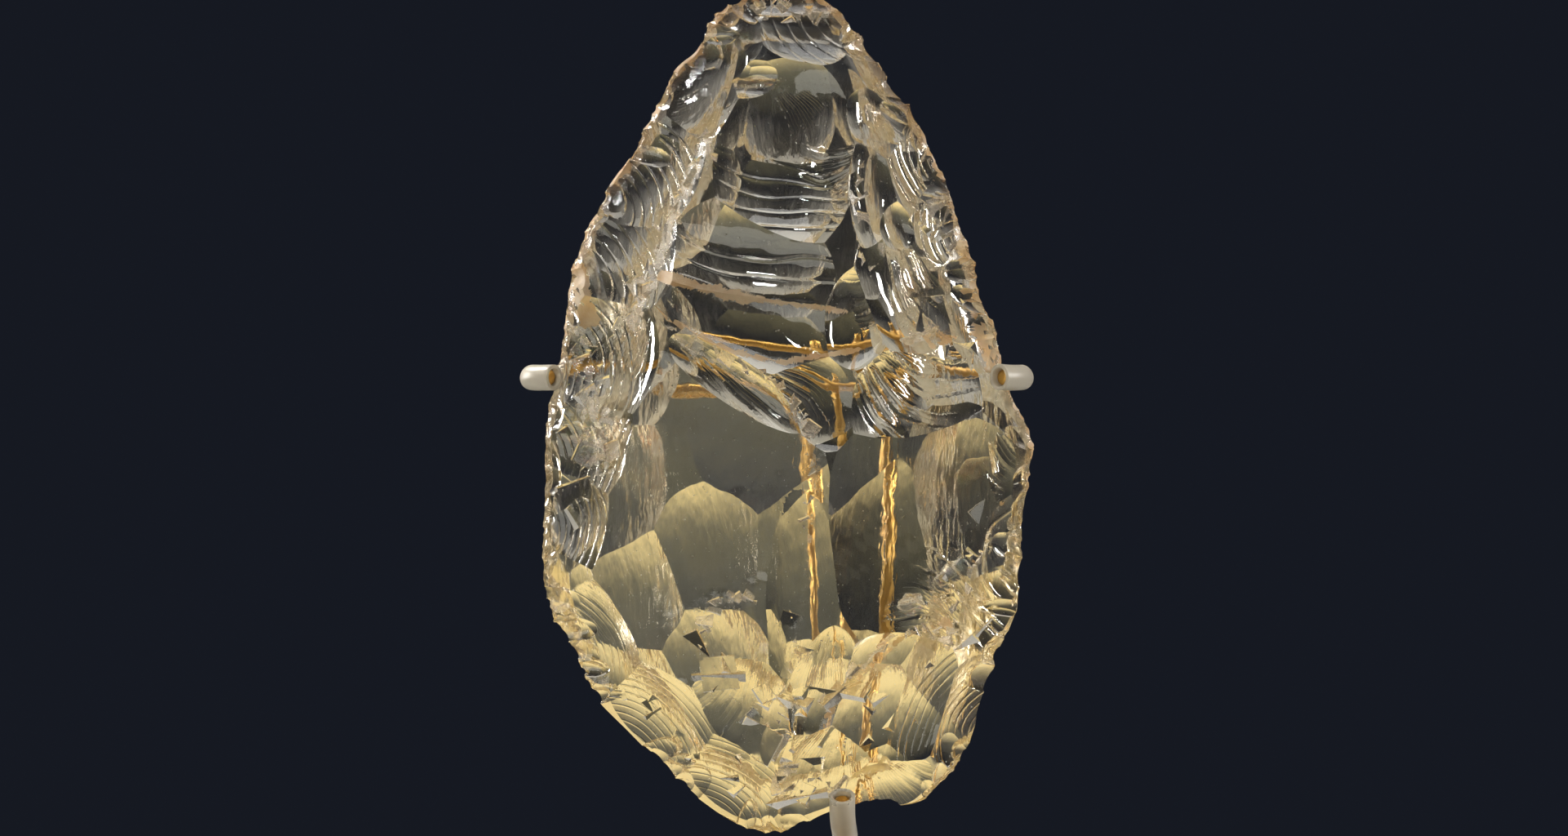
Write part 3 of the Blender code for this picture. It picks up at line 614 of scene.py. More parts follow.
def close_over(thing, lift):
    """Extrudes an open bowl's border by lift and closes it with a lid."""
    with editing(thing):
        bpy.ops.mesh.select_all(action="DESELECT")
        bpy.ops.mesh.select_non_manifold()
        bpy.ops.mesh.extrude_region_move(TRANSFORM_OT_translate={"value": lift})
        bpy.ops.mesh.edge_face_add()
        bpy.ops.mesh.select_all(action="SELECT")
        bpy.ops.mesh.normals_make_consistent(inside=False)


def modify(thing, kind, **settings):
    """Adds a modifier with these settings to the active object and applies it."""
    made = thing.modifiers.new(kind.lower(), kind)
    for name, value in settings.items():
        setattr(made, name, value)
    bpy.ops.object.modifier_apply(modifier=made.name)


def number_faces(thing, value):
    """Stores this number on every face, which a cut carries over to the stone."""
    numbers = thing.data.attributes.new("scar", "INT", "FACE")
    numbers.data.foreach_set("value", np.full(len(thing.data.polygons), value, np.int32))


def round_grid(across, along):
    """A grid, its points moved on to a round disc, and how far a unit bowl sags under them."""
    clear_selection()
    bpy.ops.mesh.primitive_grid_add(x_subdivisions=across, y_subdivisions=along, size=2)
    disc = to_disc(points_of(bpy.context.object)[:, :2])
    return bpy.context.object, disc, -np.sqrt(np.maximum(1 - (disc**2).sum(1), 0))


def scar_cutter(bowl, number):
    """The flake that leaves this scar: a rippled bowl below, straight walls and a lid."""
    cutter, disc, sag = round_grid(*(max(FLAKE_SIDES, round(2 * half / bowl.fineness))
                                     for half in (bowl.length, bowl.width)))
    place = (bowl.centre + disc[:, :1] * bowl.length * bowl.along
             + disc[:, 1:] * bowl.width * bowl.across + (bowl.reach * sag)[:, None] * bowl.outward)
    inner = 1 - ease(0.93, 1, np.hypot(disc[:, 0], disc[:, 1]))
    place += bowl.outward * (relief(bowl.name, place[:, 0], place[:, 2]) * inner)[:, None]
    place[:, 2] += STONE_LIFT
    put_points(cutter, place * MM)
    close_over(cutter, tuple(bowl.outward * LID_HEIGHT * MM))
    number_faces(cutter, number)
    return cutter


def flake_pattern():
    """One small bowl-shaped flake, 1 deep and 1 in radius, that the retouch is copied from."""
    flake, disc, sag = round_grid(FLAKE_SIDES, FLAKE_SIDES)
    put_points(flake, np.column_stack((disc, sag)))
    close_over(flake, (0, 0, 1.5))
    return flake


def chip_pattern():
    """One angular chip, a block 2 on a side, that the crushed ridges are copied from."""
    clear_selection()
    bpy.ops.mesh.primitive_cube_add(size=2)
    return bpy.context.object


def face_at(x, z, side):
    """The place and outward direction of one flaked face, in the stone's frame."""
    fall_x, fall_z = falls(lambda a, b: face_height(a, b, side), x, z, FLAKE_SPAN,
                           STEEPEST_FLAKE)
    place = Vector((x, side * face_height(x, z, side), z + STONE_LIFT))
    return place, Vector((fall_x, side, fall_z)).normalized()


def laid(centre, turn, extents):
    """The matrix, in metres, that sizes a pattern in millimetres, turns it and places it."""
    sized = Matrix.Diagonal((*extents, 1))
    return Matrix.Scale(MM, 4) @ Matrix.Translation(centre) @ turn.to_4x4() @ sized


def flake_place(x, z, side, half_length, half_width, angle, depth):
    """The matrix that lays a retouch flake on the flaked face at this point."""
    place, outward = face_at(x, z, side)
    along = Vector((math.cos(angle), 0, math.sin(angle)))
    along = (along - outward * along.dot(outward)).normalized()
    reach = depth * FLAKE_REACH
    spread = spread_at(depth, reach)
    turn = Matrix((along, outward.cross(along), outward)).transposed()
    return laid(place + outward * (reach - depth), turn,
                (half_length / spread, half_width / spread, reach))


def chip_place(x, z, extents, turn, dip):
    """The matrix that sinks one corner of an angular chip into the front face."""
    place, outward = face_at(x, z, -1)
    local = turn.inverted() @ outward
    reach = sum(extent * abs(part) for extent, part in zip(extents, local))
    return laid(place + outward * (reach - dip), turn.to_matrix(), extents)


def retouch_flakes():
    """Places and sizes of the small flakes pressed off both faces all along the rim."""
    draw = random.Random(RETOUCH_SEED)
    rim = smooth_points(OUTLINE, 24, closed=True)
    found = []
    for side in (-1, 1):
        for gap, lengths, widths, depths, inset in RETOUCH_ROWS:
            run, wait = 0.0, draw.uniform(0, gap)
            for start, end in zip(rim, rim[1:] + rim[:1]):
                run += (end - start).length
                if run < wait:
                    continue
                run, wait = 0.0, gap * draw.uniform(0.5, 1.6)
                ahead = (end - start).normalized()
                inward = Vector((ahead.y, -ahead.x))
                place = start + inward * inset * draw.uniform(0.4, 1.6)
                angle = math.atan2(inward.y, inward.x) + draw.uniform(-0.6, 0.6)
                flake = (place.x, place.y, side, draw.uniform(*lengths),
                         draw.uniform(*widths), angle, draw.uniform(*depths))
                deep = place + inward * 0.6
                thick = sum(face_height(deep.x, deep.y, face) for face in (-1, 1))
                if thick > THINNEST_EDGE:
                    found.append((flake_place(*flake), max(flake[3], flake[4]) * 1.4))
    return found


def broken_chips(lines):
    """Places and sizes of the angular chips crowded along these lines."""
    draw = random.Random(CHIP_SEED)
    found = []
    for points, size, gap, stray in lines:
        line = smooth_points(points, 30, closed=False)
        run = 0.0
        for start, end in zip(line, line[1:]):
            run += (end - start).length
            if run < gap:
                continue
            run = 0.0
            x = start.x + draw.gauss(0, stray * 0.5)
            z = start.y + draw.gauss(0, stray * 0.5)
            half = size * draw.uniform(0.6, 1.5)
            extents = (half * draw.uniform(0.8, 2.2), half, half)
            turn = Quaternion([draw.gauss(0, 1) for part in range(4)]).normalized()
            dip = half * draw.uniform(0.15, 0.5)
            found.append((chip_place(x, z, extents, turn, dip), max(extents) * 1.75))
    return found


def apart(spots, slack):
    """Sorts discs (place, radius) into groups in which none touches another."""
    groups = []
    for index, (place, radius) in enumerate(spots):
        for group in groups:
            if all(math.dist(place, spots[other][0]) > radius + spots[other][1] + slack
                   for other in group):
                group.append(index)
                break
        else:
            groups.append([index])
    return groups


def copies(pattern, places, number=NO_SCAR):
    """One object that holds a copy of the pattern at each of these matrices."""
    corners = np.column_stack((points_of(pattern), np.ones(len(pattern.data.vertices))))
    faces = [tuple(face.vertices) for face in pattern.data.polygons]
    points, loops = [], []
    for index, place in enumerate(places):
        points.append((corners @ np.array(place).T)[:, :3])
        loops += [tuple(v + index * len(corners) for v in face) for face in faces]
    mesh = bpy.data.meshes.new("flakes")
    mesh.from_pydata(np.concatenate(points).tolist(), [], loops)
    made = bpy.data.objects.new("flakes", mesh)
    number_faces(made, number)
    bpy.context.scene.collection.objects.link(made)
    return made


def strike_off(stone, flakes):
    """Cuts these flakes out of the stone and throws them away."""
    pick(stone)
    modify(stone, "BOOLEAN", operation="DIFFERENCE", solver="MANIFOLD", object=flakes)
    bpy.data.objects.remove(flakes, do_unlink=True)


def open_cracks(stone):
    """Opens the old cracks inside the stone as thin, slightly cupped gaps."""
    clear_selection()
    bpy.ops.mesh.primitive_uv_sphere_add(segments=20, ring_count=8, radius=1)
    pattern = bpy.context.object
    ball = points_of(pattern)
    ball[:, 2] = ball[:, 2] * VEIL_THICKNESS + 0.12 * (ball[:, 0] ** 2 + ball[:, 1] ** 2)
    ball[:, :2] *= 1 + 0.12 * np.sin(5 * np.arctan2(ball[:, 1], ball[:, 0]))[:, None]
    put_points(pattern, ball)
    places = []
    for x, y, z, half_length, half_width, *turns in VEILS:
        turn = Euler([math.radians(90 + turns[0])] + [math.radians(t) for t in turns[1:]])
        places.append(laid((x, y, z + STONE_LIFT), turn.to_matrix(), (half_length, half_width, 1)))
    gaps = copies(pattern, places, VEIL)
    bpy.data.objects.remove(pattern, do_unlink=True)
    strike_off(stone, gaps)


def drop_crumbs(stone):
    """Deletes the loose crumbs that the flakes leave beside the stone."""
    middle = Vector((STONE_CENTRE[0], 0, STONE_CENTRE[1] + STONE_LIFT)) * MM
    found, place, normal, index = stone.closest_point_on_mesh(middle)
    pick(stone)
    bpy.ops.object.mode_set(mode="EDIT")
    bpy.ops.mesh.select_all(action="DESELECT")
    bpy.ops.object.mode_set(mode="OBJECT")
    stone.data.polygons[index].select = True
    bpy.ops.object.mode_set(mode="EDIT")
    bpy.ops.mesh.select_linked()
    bpy.ops.mesh.select_all(action="INVERT")
    bpy.ops.mesh.delete(type="VERT")
    bpy.ops.object.mode_set(mode="OBJECT")


def stone_blank():
    """The stone before it is flaked: a ball pressed into two domes inside the outline."""
    clear_selection()
    bpy.ops.mesh.primitive_uv_sphere_add(segments=len(RIM), ring_count=BLANK_RINGS, radius=1)
    stone = bpy.context.object
    ball = points_of(stone)
    turn = np.arctan2(ball[:, 1], ball[:, 0])
    index = np.round(turn / (2 * math.pi) * len(RIM)).astype(int) % len(RIM)
    share = np.hypot(ball[:, 0], ball[:, 1])
    rim = np.array(RIM)[index]
    centre = np.array(STONE_CENTRE)
    flat = centre + (rim - centre) * share[:, None]
    swell = np.where(ball[:, 2] > 0, FRONT_SWELL, BACK_SWELL)
    height = swell * (1 - np.minimum(share, 1) ** 2) ** SWELL_POWER
    depth = np.where(ball[:, 2] > 0, -height, height)
    put_points(stone, np.stack((flat[:, 0], depth, flat[:, 1] + STONE_LIFT), -1) * MM)
    with editing(stone):
        bpy.ops.mesh.normals_make_consistent(inside=False)
    return stone


def knap():
    """The whole stone: its large scars first, then the retouch and the crushed ridges."""
    stone = stone_blank()
    number_faces(stone, NO_SCAR)
    for first, bowls in ((0, FRONT), (len(FRONT), BACK)):
        spots = [(tuple(bowl.centre), max(bowl.length, bowl.width)) for bowl in bowls]
        for group in apart(spots, 0.2):
            cutters = [scar_cutter(bowls[index], first + index) for index in group]
            pick(cutters[0])
            for cutter in cutters:
                cutter.select_set(True)
            if len(cutters) > 1:
                bpy.ops.object.join()
            strike_off(stone, cutters[0])
    for pattern, chips, number in (
        (flake_pattern(), retouch_flakes(), NO_SCAR),
        (chip_pattern(), broken_chips(BROKEN_LINES), NO_SCAR),
        (chip_pattern(), broken_chips(CRUSHED_LINES), CHIP),
    ):
        spots = [(tuple(place.translation / MM), radius) for place, radius in chips]
        for group in apart(spots, 0.05):
            places = [chips[index][0] for index in group]
            strike_off(stone, copies(pattern, places, number))
        bpy.data.objects.remove(pattern, do_unlink=True)
    drop_crumbs(stone)
    open_cracks(stone)
    return stone


def shade(stone, angle):
    """Thins the mesh to its limit and shades it smooth except along the arrises."""
    with editing(stone):
        bpy.ops.mesh.quads_convert_to_tris()
    if len(stone.data.polygons) > STONE_TRIANGLES:
        modify(stone, "DECIMATE", ratio=STONE_TRIANGLES / len(stone.data.polygons))
    bpy.ops.object.shade_smooth_by_angle(angle=angle)


def line_reach(x, z, points):
    """Distance from each place to the nearest part of a line of points."""
    best = np.full(len(x), 1e9)
    for (ax, az), (bx, bz) in zip(points, points[1:]):
        run_x, run_z = bx - ax, bz - az
        part = np.clip(((x - ax) * run_x + (z - az) * run_z) / (run_x**2 + run_z**2), 0, 1)
        best = np.minimum(best, np.hypot(x - ax - part * run_x, z - az - part * run_z))
    return best


def painted(x, z, front, marks):
    """Sums soft marks: lines of points with a half width and a strength."""
    total = np.zeros(len(x))
    for points, half_width, strength in marks:
        total += strength * np.exp(-((line_reach(x, z, points) / half_width) ** 2))
    return total * front


def add_values(thing, name, domain, values):
    made = thing.data.attributes.new(name, "FLOAT", domain)
    made.data.foreach_set("value", values.astype(np.float32))


def face_kinds(stone, scar):
    """Which material each face has: clear quartz, crack, iron crust with a painted highlight band,
    or crushed frost.
    """
    middles = np.empty(len(stone.data.polygons) * 3)
    stone.data.polygons.foreach_get("center", middles)
    x, y, z = (middles.reshape(-1, 3) / MM).T
    z = z - STONE_LIFT
    front = ease(-1.0, 1.0, -y)
    uneven = 0.3 * waver(x, z, 0.45, 4) + 0.25 * waver(x, z, 1.3, 8)
    rim = ease(0.95, 1.0, rim_share(x, z)) * ease(20, 45, z + 6 * np.sign(x)) * 0.9
    # Crust faces also cover the tan band painted where light falls on the step riser: painted
    # highlight.
    crust_and_lit_band = np.maximum(painted(x, z, front, STAIN_AND_LIT_BAND_MARKS), rim) + uneven > 0.72
    frost = painted(x, z, front, FROST_MARKS) + uneven > 0.8
    kinds = np.where(frost | (scar == CHIP), 3, np.where(crust_and_lit_band, 2, 0))
    return np.where(scar == VEIL, 1, kinds)


def mark_fine_lines(stone):
    """Stores on every face corner which fine ripple and hackle it lies on, and how strong.

    Returns which of the stone's materials each face has.
    """
    mesh = stone.data
    scar = np.empty(len(mesh.polygons), np.int32)
    mesh.attributes["scar"].data.foreach_get("value", scar)
    kinds = face_kinds(stone, scar)
    corner_vertex = np.empty(len(mesh.loops), np.int32)
    mesh.loops.foreach_get("vertex_index", corner_vertex)
    scar = np.repeat(scar, [len(face.vertices) for face in mesh.polygons])
    points = points_of(stone)[corner_vertex] / MM
    x, z = points[:, 0], points[:, 2] - STONE_LIFT
    names = [bowl.name for bowl in FRONT + BACK]
    for name, rows, field, height_at, full in (
        ("ripple", RIPPLES, ripple_field, RIPPLE_HEIGHT, RIPPLE_FULL),
        ("hackle", HACKLES, hackle_field, HACKLE_HEIGHT, HACKLE_FULL),
    ):
        phase, fade = np.zeros(len(scar)), np.zeros(len(scar))
        for row in rows:
            here = scar == names.index(row[0])
            lines, strength = field(row, x[here], z[here])
            strength = strength * min(1, row[height_at] / full)
            better = strength > fade[here]
            phase[here] = np.where(better, lines, phase[here])
            fade[here] = np.where(better, strength, fade[here])
        add_values(stone, name, "CORNER", phase)
        add_values(stone, name + "_fade", "CORNER", np.clip(fade, 0, 1))
    mesh.attributes.remove(mesh.attributes["scar"])
    return kinds


def mark_wear(stone):
    """Stores how worn, stained and frosted each point of the stone is, with the painted highlight
    band.
    """
    bm = bmesh.new()
    bm.from_mesh(stone.data)
    wear = np.zeros(len(bm.verts))
    for edge in bm.edges:
        if len(edge.link_faces) != 2:
            continue
        bend = edge.calc_face_angle_signed(0.0)
        if bend > WEAR_ANGLE:
            for vert in edge.verts:
                wear[vert.index] = max(wear[vert.index], min(1.0, bend / WEAR_FULL))
    bm.free()
    points = points_of(stone) / MM
    x, z = points[:, 0], points[:, 2] - STONE_LIFT
    front = ease(-1.0, 1.0, -points[:, 1])
    marks = {
        "wear": wear * (BACK_WEAR + (1 - BACK_WEAR) * front),
        "rim": ease(0.92, 0.985, rim_share(x, z)) * (0.2 + 0.8 * ease(24, 52, z)),
        # The stain values include the tan band painted where light falls on the step riser:
        # painted highlight.
        "stain": painted(x, z, front, STAIN_AND_LIT_BAND_MARKS),
        "frost": painted(x, z, front, FROST_MARKS),
        "soot": painted(x, z, front, SOOT_MARKS),
    }
    for name, values in marks.items():
        add_values(stone, name, "POINT", np.clip(values, 0, 1))


class Nodes:
    """Builds a material's or a world's nodes; each call returns the socket it ends in."""

    def __init__(self, owner):
        owner.use_nodes = True
        self.owner = owner
        self.tree = owner.node_tree
        self.shader = self.tree.nodes.get("Principled BSDF")

    def feed(self, socket, value):
        """Links this socket to another, or gives it a plain value."""
        if isinstance(value, bpy.types.NodeSocket):
            self.tree.links.new(value, socket)
        else:
            socket.default_value = value

    def set(self, **values):
        for name, value in values.items():
            self.feed(self.shader.inputs[name.replace("_", " ")], value)

    def put(self, kind, inputs, output=0, **settings):
        node = self.tree.nodes.new(kind)
        for name, value in settings.items():
            setattr(node, name, value)
        for key, value in inputs.items():
            self.feed(node.inputs[key], value)
        return node.outputs[output]

    def place(self):
        return self.put("ShaderNodeTexCoord", {}, "Object")

    def parts(self, vector):
        """The X, Y and Z of a vector, by name."""
        return self.put("ShaderNodeSeparateXYZ", {0: vector}).node.outputs

    def attribute(self, name):
        return self.put("ShaderNodeAttribute", {}, "Fac", attribute_name=name)

    def noise(self, scale, detail=2.0, rough=0.5, vector=None, distortion=0.0):
        return self.put("ShaderNodeTexNoise", {
            "Vector": vector or self.place(), "Scale": scale, "Detail": detail,
            "Roughness": rough, "Distortion": distortion,
        }, "Fac")

    def maths(self, operation, a, b=0.0):
        return self.put("ShaderNodeMath", {0: a, 1: b}, operation=operation)

    def times(self, a, b):
        return self.maths("MULTIPLY", a, b)

    def most(self, a, b):
        return self.maths("MAXIMUM", a, b)

    def spread(self, value, low, high, to_low=0.0, to_high=1.0, **settings):
        return self.put("ShaderNodeMapRange", {
            "Value": value, "From Min": low, "From Max": high, "To Min": to_low,
            "To Max": to_high,
        }, **settings)

    def mix(self, factor, a, b):
        return self.put("ShaderNodeMix", {0: factor, 6: a, 7: b}, 2, data_type="RGBA")

    def bump(self, height, strength, distance, below=None):
        inputs = {"Height": height, "Strength": strength, "Distance": distance}
        if below:
            inputs["Normal"] = below
        return self.put("ShaderNodeBump", inputs)


def new_material(name):
    return Nodes(bpy.data.materials.new(name))


def quartz_material(looks):
    """Clear champagne quartz: frosted arrises, iron-stained rim, black specks, painted highlight
    band.
    """
    n = new_material("rock_quartz")
    wear, rim = n.maths("POWER", n.attribute("wear"), 3.0), n.attribute("rim")
    stain, frost, soot = n.attribute("stain"), n.attribute("frost"), n.attribute("soot")
    patchy = n.spread(n.noise(190.0, 4.0, 0.6), 0.36, 0.56)
    fine = n.noise(1500.0, 3.0, 0.6)
    grain = n.spread(fine, 0.4, 0.62)
    # Rust colours the stained rim and marks, and the tan band painted where light falls on the
    # step riser.
    rust_and_lit_band = n.maths("MINIMUM", n.most(n.times(rim, patchy), n.times(stain, grain)), 1.0)
    colour = n.mix(n.times(rust_and_lit_band, 0.9), (*looks.tint, 1), (*looks.stain, 1))
    colour = n.mix(n.times(soot, grain), colour, (*looks.soot, 1))
    chalk = n.times(n.most(frost, n.times(wear, 0.7)), grain)
    specks = n.spread(n.noise(2300.0, 1.0), 0.74, 0.78)
    cloudy = n.most(n.times(chalk, 0.5), n.times(rust_and_lit_band, 0.22))
    cloudy = n.most(n.most(cloudy, n.times(soot, 0.6)), n.times(specks, 0.5))
    depth = n.parts(n.place())["Y"]
    back = n.spread(depth, *BACK_DEPTH, 0.0, looks.back_haze)
    roughness = n.maths("ADD", n.most(cloudy, back), n.spread(fine, 0.3, 0.7, 0.0, 0.04))
    tear = n.noise(2600.0, 3.0, 0.6, distortion=1.2)
    strength = n.maths("ADD", 0.02, n.times(n.most(chalk, rust_and_lit_band), 0.5))
    sway = n.times(n.noise(700.0, 2.0), 0.5)
    hackle = n.maths("FRACT", n.maths("ADD", n.times(n.attribute("hackle"), 3.0), sway))
    hackle = n.times(n.maths("POWER", n.maths("SUBTRACT", 1.0, hackle), 1.5),
                     n.attribute("hackle_fade"))
    crest = n.spread(n.maths("COSINE", n.times(n.attribute("ripple"), 2 * math.pi)), -1, 1)
    crest = n.times(n.maths("POWER", crest, 9.0), n.attribute("ripple_fade"))
    slant = n.put("ShaderNodeMapping", {
        "Vector": n.place(), "Rotation": (0, math.radians(42), 0), "Scale": (620, 300, 130),
    })
    strokes = n.times(n.noise(1.0, 3.0, 0.55, vector=slant), n.spread(depth, *BACK_DEPTH))
    normal = n.bump(strokes, 1.0, 0.0003)
    normal = n.bump(hackle, 1.0, 0.00022, normal)
    normal = n.bump(crest, 1.0, 0.00014, normal)
    normal = n.bump(tear, strength, 0.0001, normal)
    n.set(Base_Color=colour, Roughness=roughness, IOR=QUARTZ_INDEX, Normal=normal,
          Transmission_Weight=1.0)
    volume = n.put("ShaderNodeVolumeAbsorption", {
        "Color": (*looks.depth_tint, 1), "Density": looks.depth_density,
    })
    n.feed(n.tree.nodes["Material Output"].inputs["Volume"], volume)
    return n.owner


def veil_material():
    """The thin gaps of old cracks in the quartz, with the colours of a thin film."""
    n = new_material("crack_veil")
    rough = n.spread(n.noise(900.0, 3.0), 0.35, 0.7, 0.02, 0.22)
    n.set(Base_Color=n.mix(n.noise(500.0, 3.0), (1.0, 0.97, 0.93, 1), (0.93, 0.9, 0.86, 1)),
          Roughness=rough, IOR=QUARTZ_INDEX, Normal=n.bump(n.noise(1200.0, 3.0), 0.3, 0.0001),
          Transmission_Weight=1.0, Thin_Film_Thickness=520.0, Thin_Film_IOR=1.2)
    return n.owner


def crust_and_lit_band_material(looks):
    """Iron-stained crust and painted highlight band: tan to brown, matte, light coming a little
    way through it.
    """
    n = new_material("iron_crust")
    patches = n.spread(n.noise(420.0, 5.0, 0.65), 0.34, 0.66)
    fine = n.noise(2600.0, 3.0, 0.6)
    colour = n.mix(patches, (*looks.crust_and_lit_band, 1), (*looks.stain, 1))
    colour = n.mix(n.spread(n.attribute("soot"), 0.2, 0.7), colour, (*looks.soot, 1))
    n.set(Base_Color=colour, Roughness=n.spread(fine, 0.3, 0.7, 0.32, 0.55), IOR=QUARTZ_INDEX,
          Normal=n.bump(fine, 0.4, 0.0001), Transmission_Weight=0.7)
    return n.owner


def frost_material(looks):
    """Crushed quartz: white and frosted, with light coming through it."""
    n = new_material("crushed_quartz")
    fine = n.noise(2200.0, 3.0, 0.6)
    colour = n.mix(n.noise(500.0, 3.0), (0.95, 0.92, 0.86, 1), (*looks.crust_and_lit_band, 1))
    n.set(Base_Color=colour, Roughness=n.spread(fine, 0.3, 0.7, 0.12, 0.35), IOR=QUARTZ_INDEX,
          Normal=n.bump(fine, 0.5, 0.0001), Transmission_Weight=0.75)
    return n.owner


def brass_material(name, colour, tarnish, roughness, turned):
    """Old brass: brown tarnish in patches and fine scratches, or turning rings."""
    n = new_material(name)
    patches = n.spread(n.noise(170.0, 5.0, 0.62), 0.36, 0.66)
    fine = n.noise(2400.0, 2.0, 0.5)
    rough = n.maths("ADD", n.spread(patches, 0, 1, roughness, roughness + 0.2),
                    n.spread(fine, 0.3, 0.7, -0.05, 0.05))
    if turned:
        rings = n.put("ShaderNodeTexWave", {
            "Vector": n.place(), "Scale": 420.0, "Distortion": 0.6, "Detail": 2.0,
        }, "Fac", wave_type="RINGS", rings_direction="Z")
        normal = n.bump(rings, 0.12, 0.00005, n.bump(fine, 0.05, 0.00005))
    else:
        normal = n.bump(fine, 0.15, 0.00005, n.bump(n.noise(500.0, 3.0), 0.25, 0.0001))
    n.set(Base_Color=n.mix(n.times(patches, 0.75), (*colour, 1), (*tarnish, 1)), Metallic=1.0,
          Roughness=rough, Normal=normal)
    return n.owner


def sleeve_material(looks):
    """Soft clear tubing, gone beige and a little cloudy."""
    n = new_material("sleeve_tubing")
    cloud = n.spread(n.noise(220.0, 4.0, 0.6), 0.3, 0.7)
    fine = n.noise(1800.0, 2.0)
    colour = n.mix(cloud, (*looks.sleeve, 1), (*(0.82 * c for c in looks.sleeve), 1))
    n.set(Base_Color=colour, Roughness=n.spread(cloud, 0, 1, 0.22, 0.42), IOR=1.46,
          Normal=n.bump(fine, 0.08, 0.00005), Transmission_Weight=0.45)
    return n.owner


def floor_material(looks):
    """Pale, faintly uneven paper."""
    n = new_material("floor_paper")
    cloud = n.noise(9.0, 4.0, 0.6)
    deep = (*(0.9 * c for c in looks.floor), 1)
    n.set(Base_Color=n.mix(cloud, (*looks.floor, 1), deep),
          Roughness=n.spread(cloud, 0, 1, 0.75, 0.9),
          Normal=n.bump(n.noise(900.0, 3.0), 0.1, 0.0002))
    return n.owner


def studio_world(looks):
    """Dark behind the object; the quartz alone sees a warm glow above and a grey front."""
    n = Nodes(bpy.data.worlds.new("studio"))
    way = n.parts(n.put("ShaderNodeTexCoord", {}, "Generated"))
    dark = (*looks.background, 1)
    haze = n.times(n.spread(way["Z"], *HAZE_RISE), n.spread(way["X"], *HAZE_SIDE))
    around = n.mix(haze, dark, (*looks.haze, 1))
    around = n.mix(n.spread(way["Y"], *FRONT_FILL), around, (*looks.fill, 1))
    beside = n.spread(n.maths("ABSOLUTE", way["X"]), *GROUND_SIDE)
    ground = n.mix(beside, (*looks.ground, 1), (*looks.ground_side, 1))
    around = n.mix(n.spread(way["Z"], *GROUND_FALL), around, ground)
    up = n.spread(way["Z"], *GLOW_RISE, interpolation_type="SMOOTHSTEP")
    around = n.mix(n.times(up, n.spread(way["Y"], *GLOW_BEHIND)), around, (*looks.glow, 1))
    through = n.put("ShaderNodeLightPath", {}, "Is Transmission Ray")
    n.feed(n.tree.nodes["Background"].inputs["Color"], n.mix(through, dark, around))
    return n.owner


def even_route(points, step):
    """A smooth route through these points, with its points about step apart."""
    fine = smooth_points(points, 60, closed=False)
    length = sum((b - a).length for a, b in zip(fine, fine[1:]))
    step = length / round(length / step)
    route, run = [fine[0]], 0.0
    for a, b in zip(fine, fine[1:]):
        run += (b - a).length
        if run >= step - 1e-6:
            route.append(b)
            run = 0.0
    if (route[-1] - fine[-1]).length < step / 2:
        route.pop()
    route.append(fine[-1])
    return route


def wire(name, route, radius, seed):
    """A drawn wire along a route, with rounded ends and slightly uneven thickness."""
    draw = random.Random(seed)
    clear_selection()
    bpy.ops.curve.primitive_nurbs_path_add(radius=1)
    thing = bpy.context.object
    thing.name = name
    curve = thing.data
    curve.splines.clear()
    curve.dimensions = "3D"
    curve.bevel_depth = radius * MM
    curve.bevel_resolution = 4
    curve.use_fill_caps = True
    line = curve.splines.new("POLY")
    ends = []
    for end, inner in ((route[0], route[1]), (route[-1], route[-2])):
        ahead = (end - inner).normalized() * radius
        ends.append([(end - ahead * back, share) for back, share in WIRE_END])
    middle = [(place, 1.0 - draw.uniform(0, 0.02)) for place in route[1:-1]]
    rings = ends[0] + middle + ends[1][::-1]
    line.points.add(len(rings) - 1)
    for point, (place, share) in zip(line.points, rings):
        point.co = (place.x * MM, place.y * MM, (place.z + STONE_LIFT) * MM, 1)
        point.radius = share
    bpy.ops.object.convert(target="MESH")
    thing = bpy.context.object
    bpy.ops.object.shade_smooth_by_angle(angle=DRAWN_ANGLE)
    return thing


def solder(name, place, size, seed):
    """A bead of solder, run unevenly round a joint."""
    clear_selection()
    bpy.ops.mesh.primitive_ico_sphere_add(subdivisions=4, radius=1)
    bead = bpy.context.object
    bead.name = name
    ball = points_of(bead)
    uneven = 1 + 0.07 * waver(ball[:, 0] * 2, ball[:, 2] * 2 + ball[:, 1], 1.0, seed)
    put_points(bead, (np.array(place) + ball * uneven[:, None] * np.array(size)) * MM)
    bpy.ops.object.shade_smooth()
    return bead


def frames_along(route):
    """For each point of a route, its place and two directions across it, without twist."""
    ahead = [(b - a).normalized() for a, b in zip(route, route[1:])]
    ahead.append(ahead[-1])
    across = ahead[0].orthogonal().normalized()
    found = []
    for place, way in zip(route, ahead):
        across = (across - way * across.dot(way)).normalized()
        found.append((place, across, way.cross(across)))
    return found


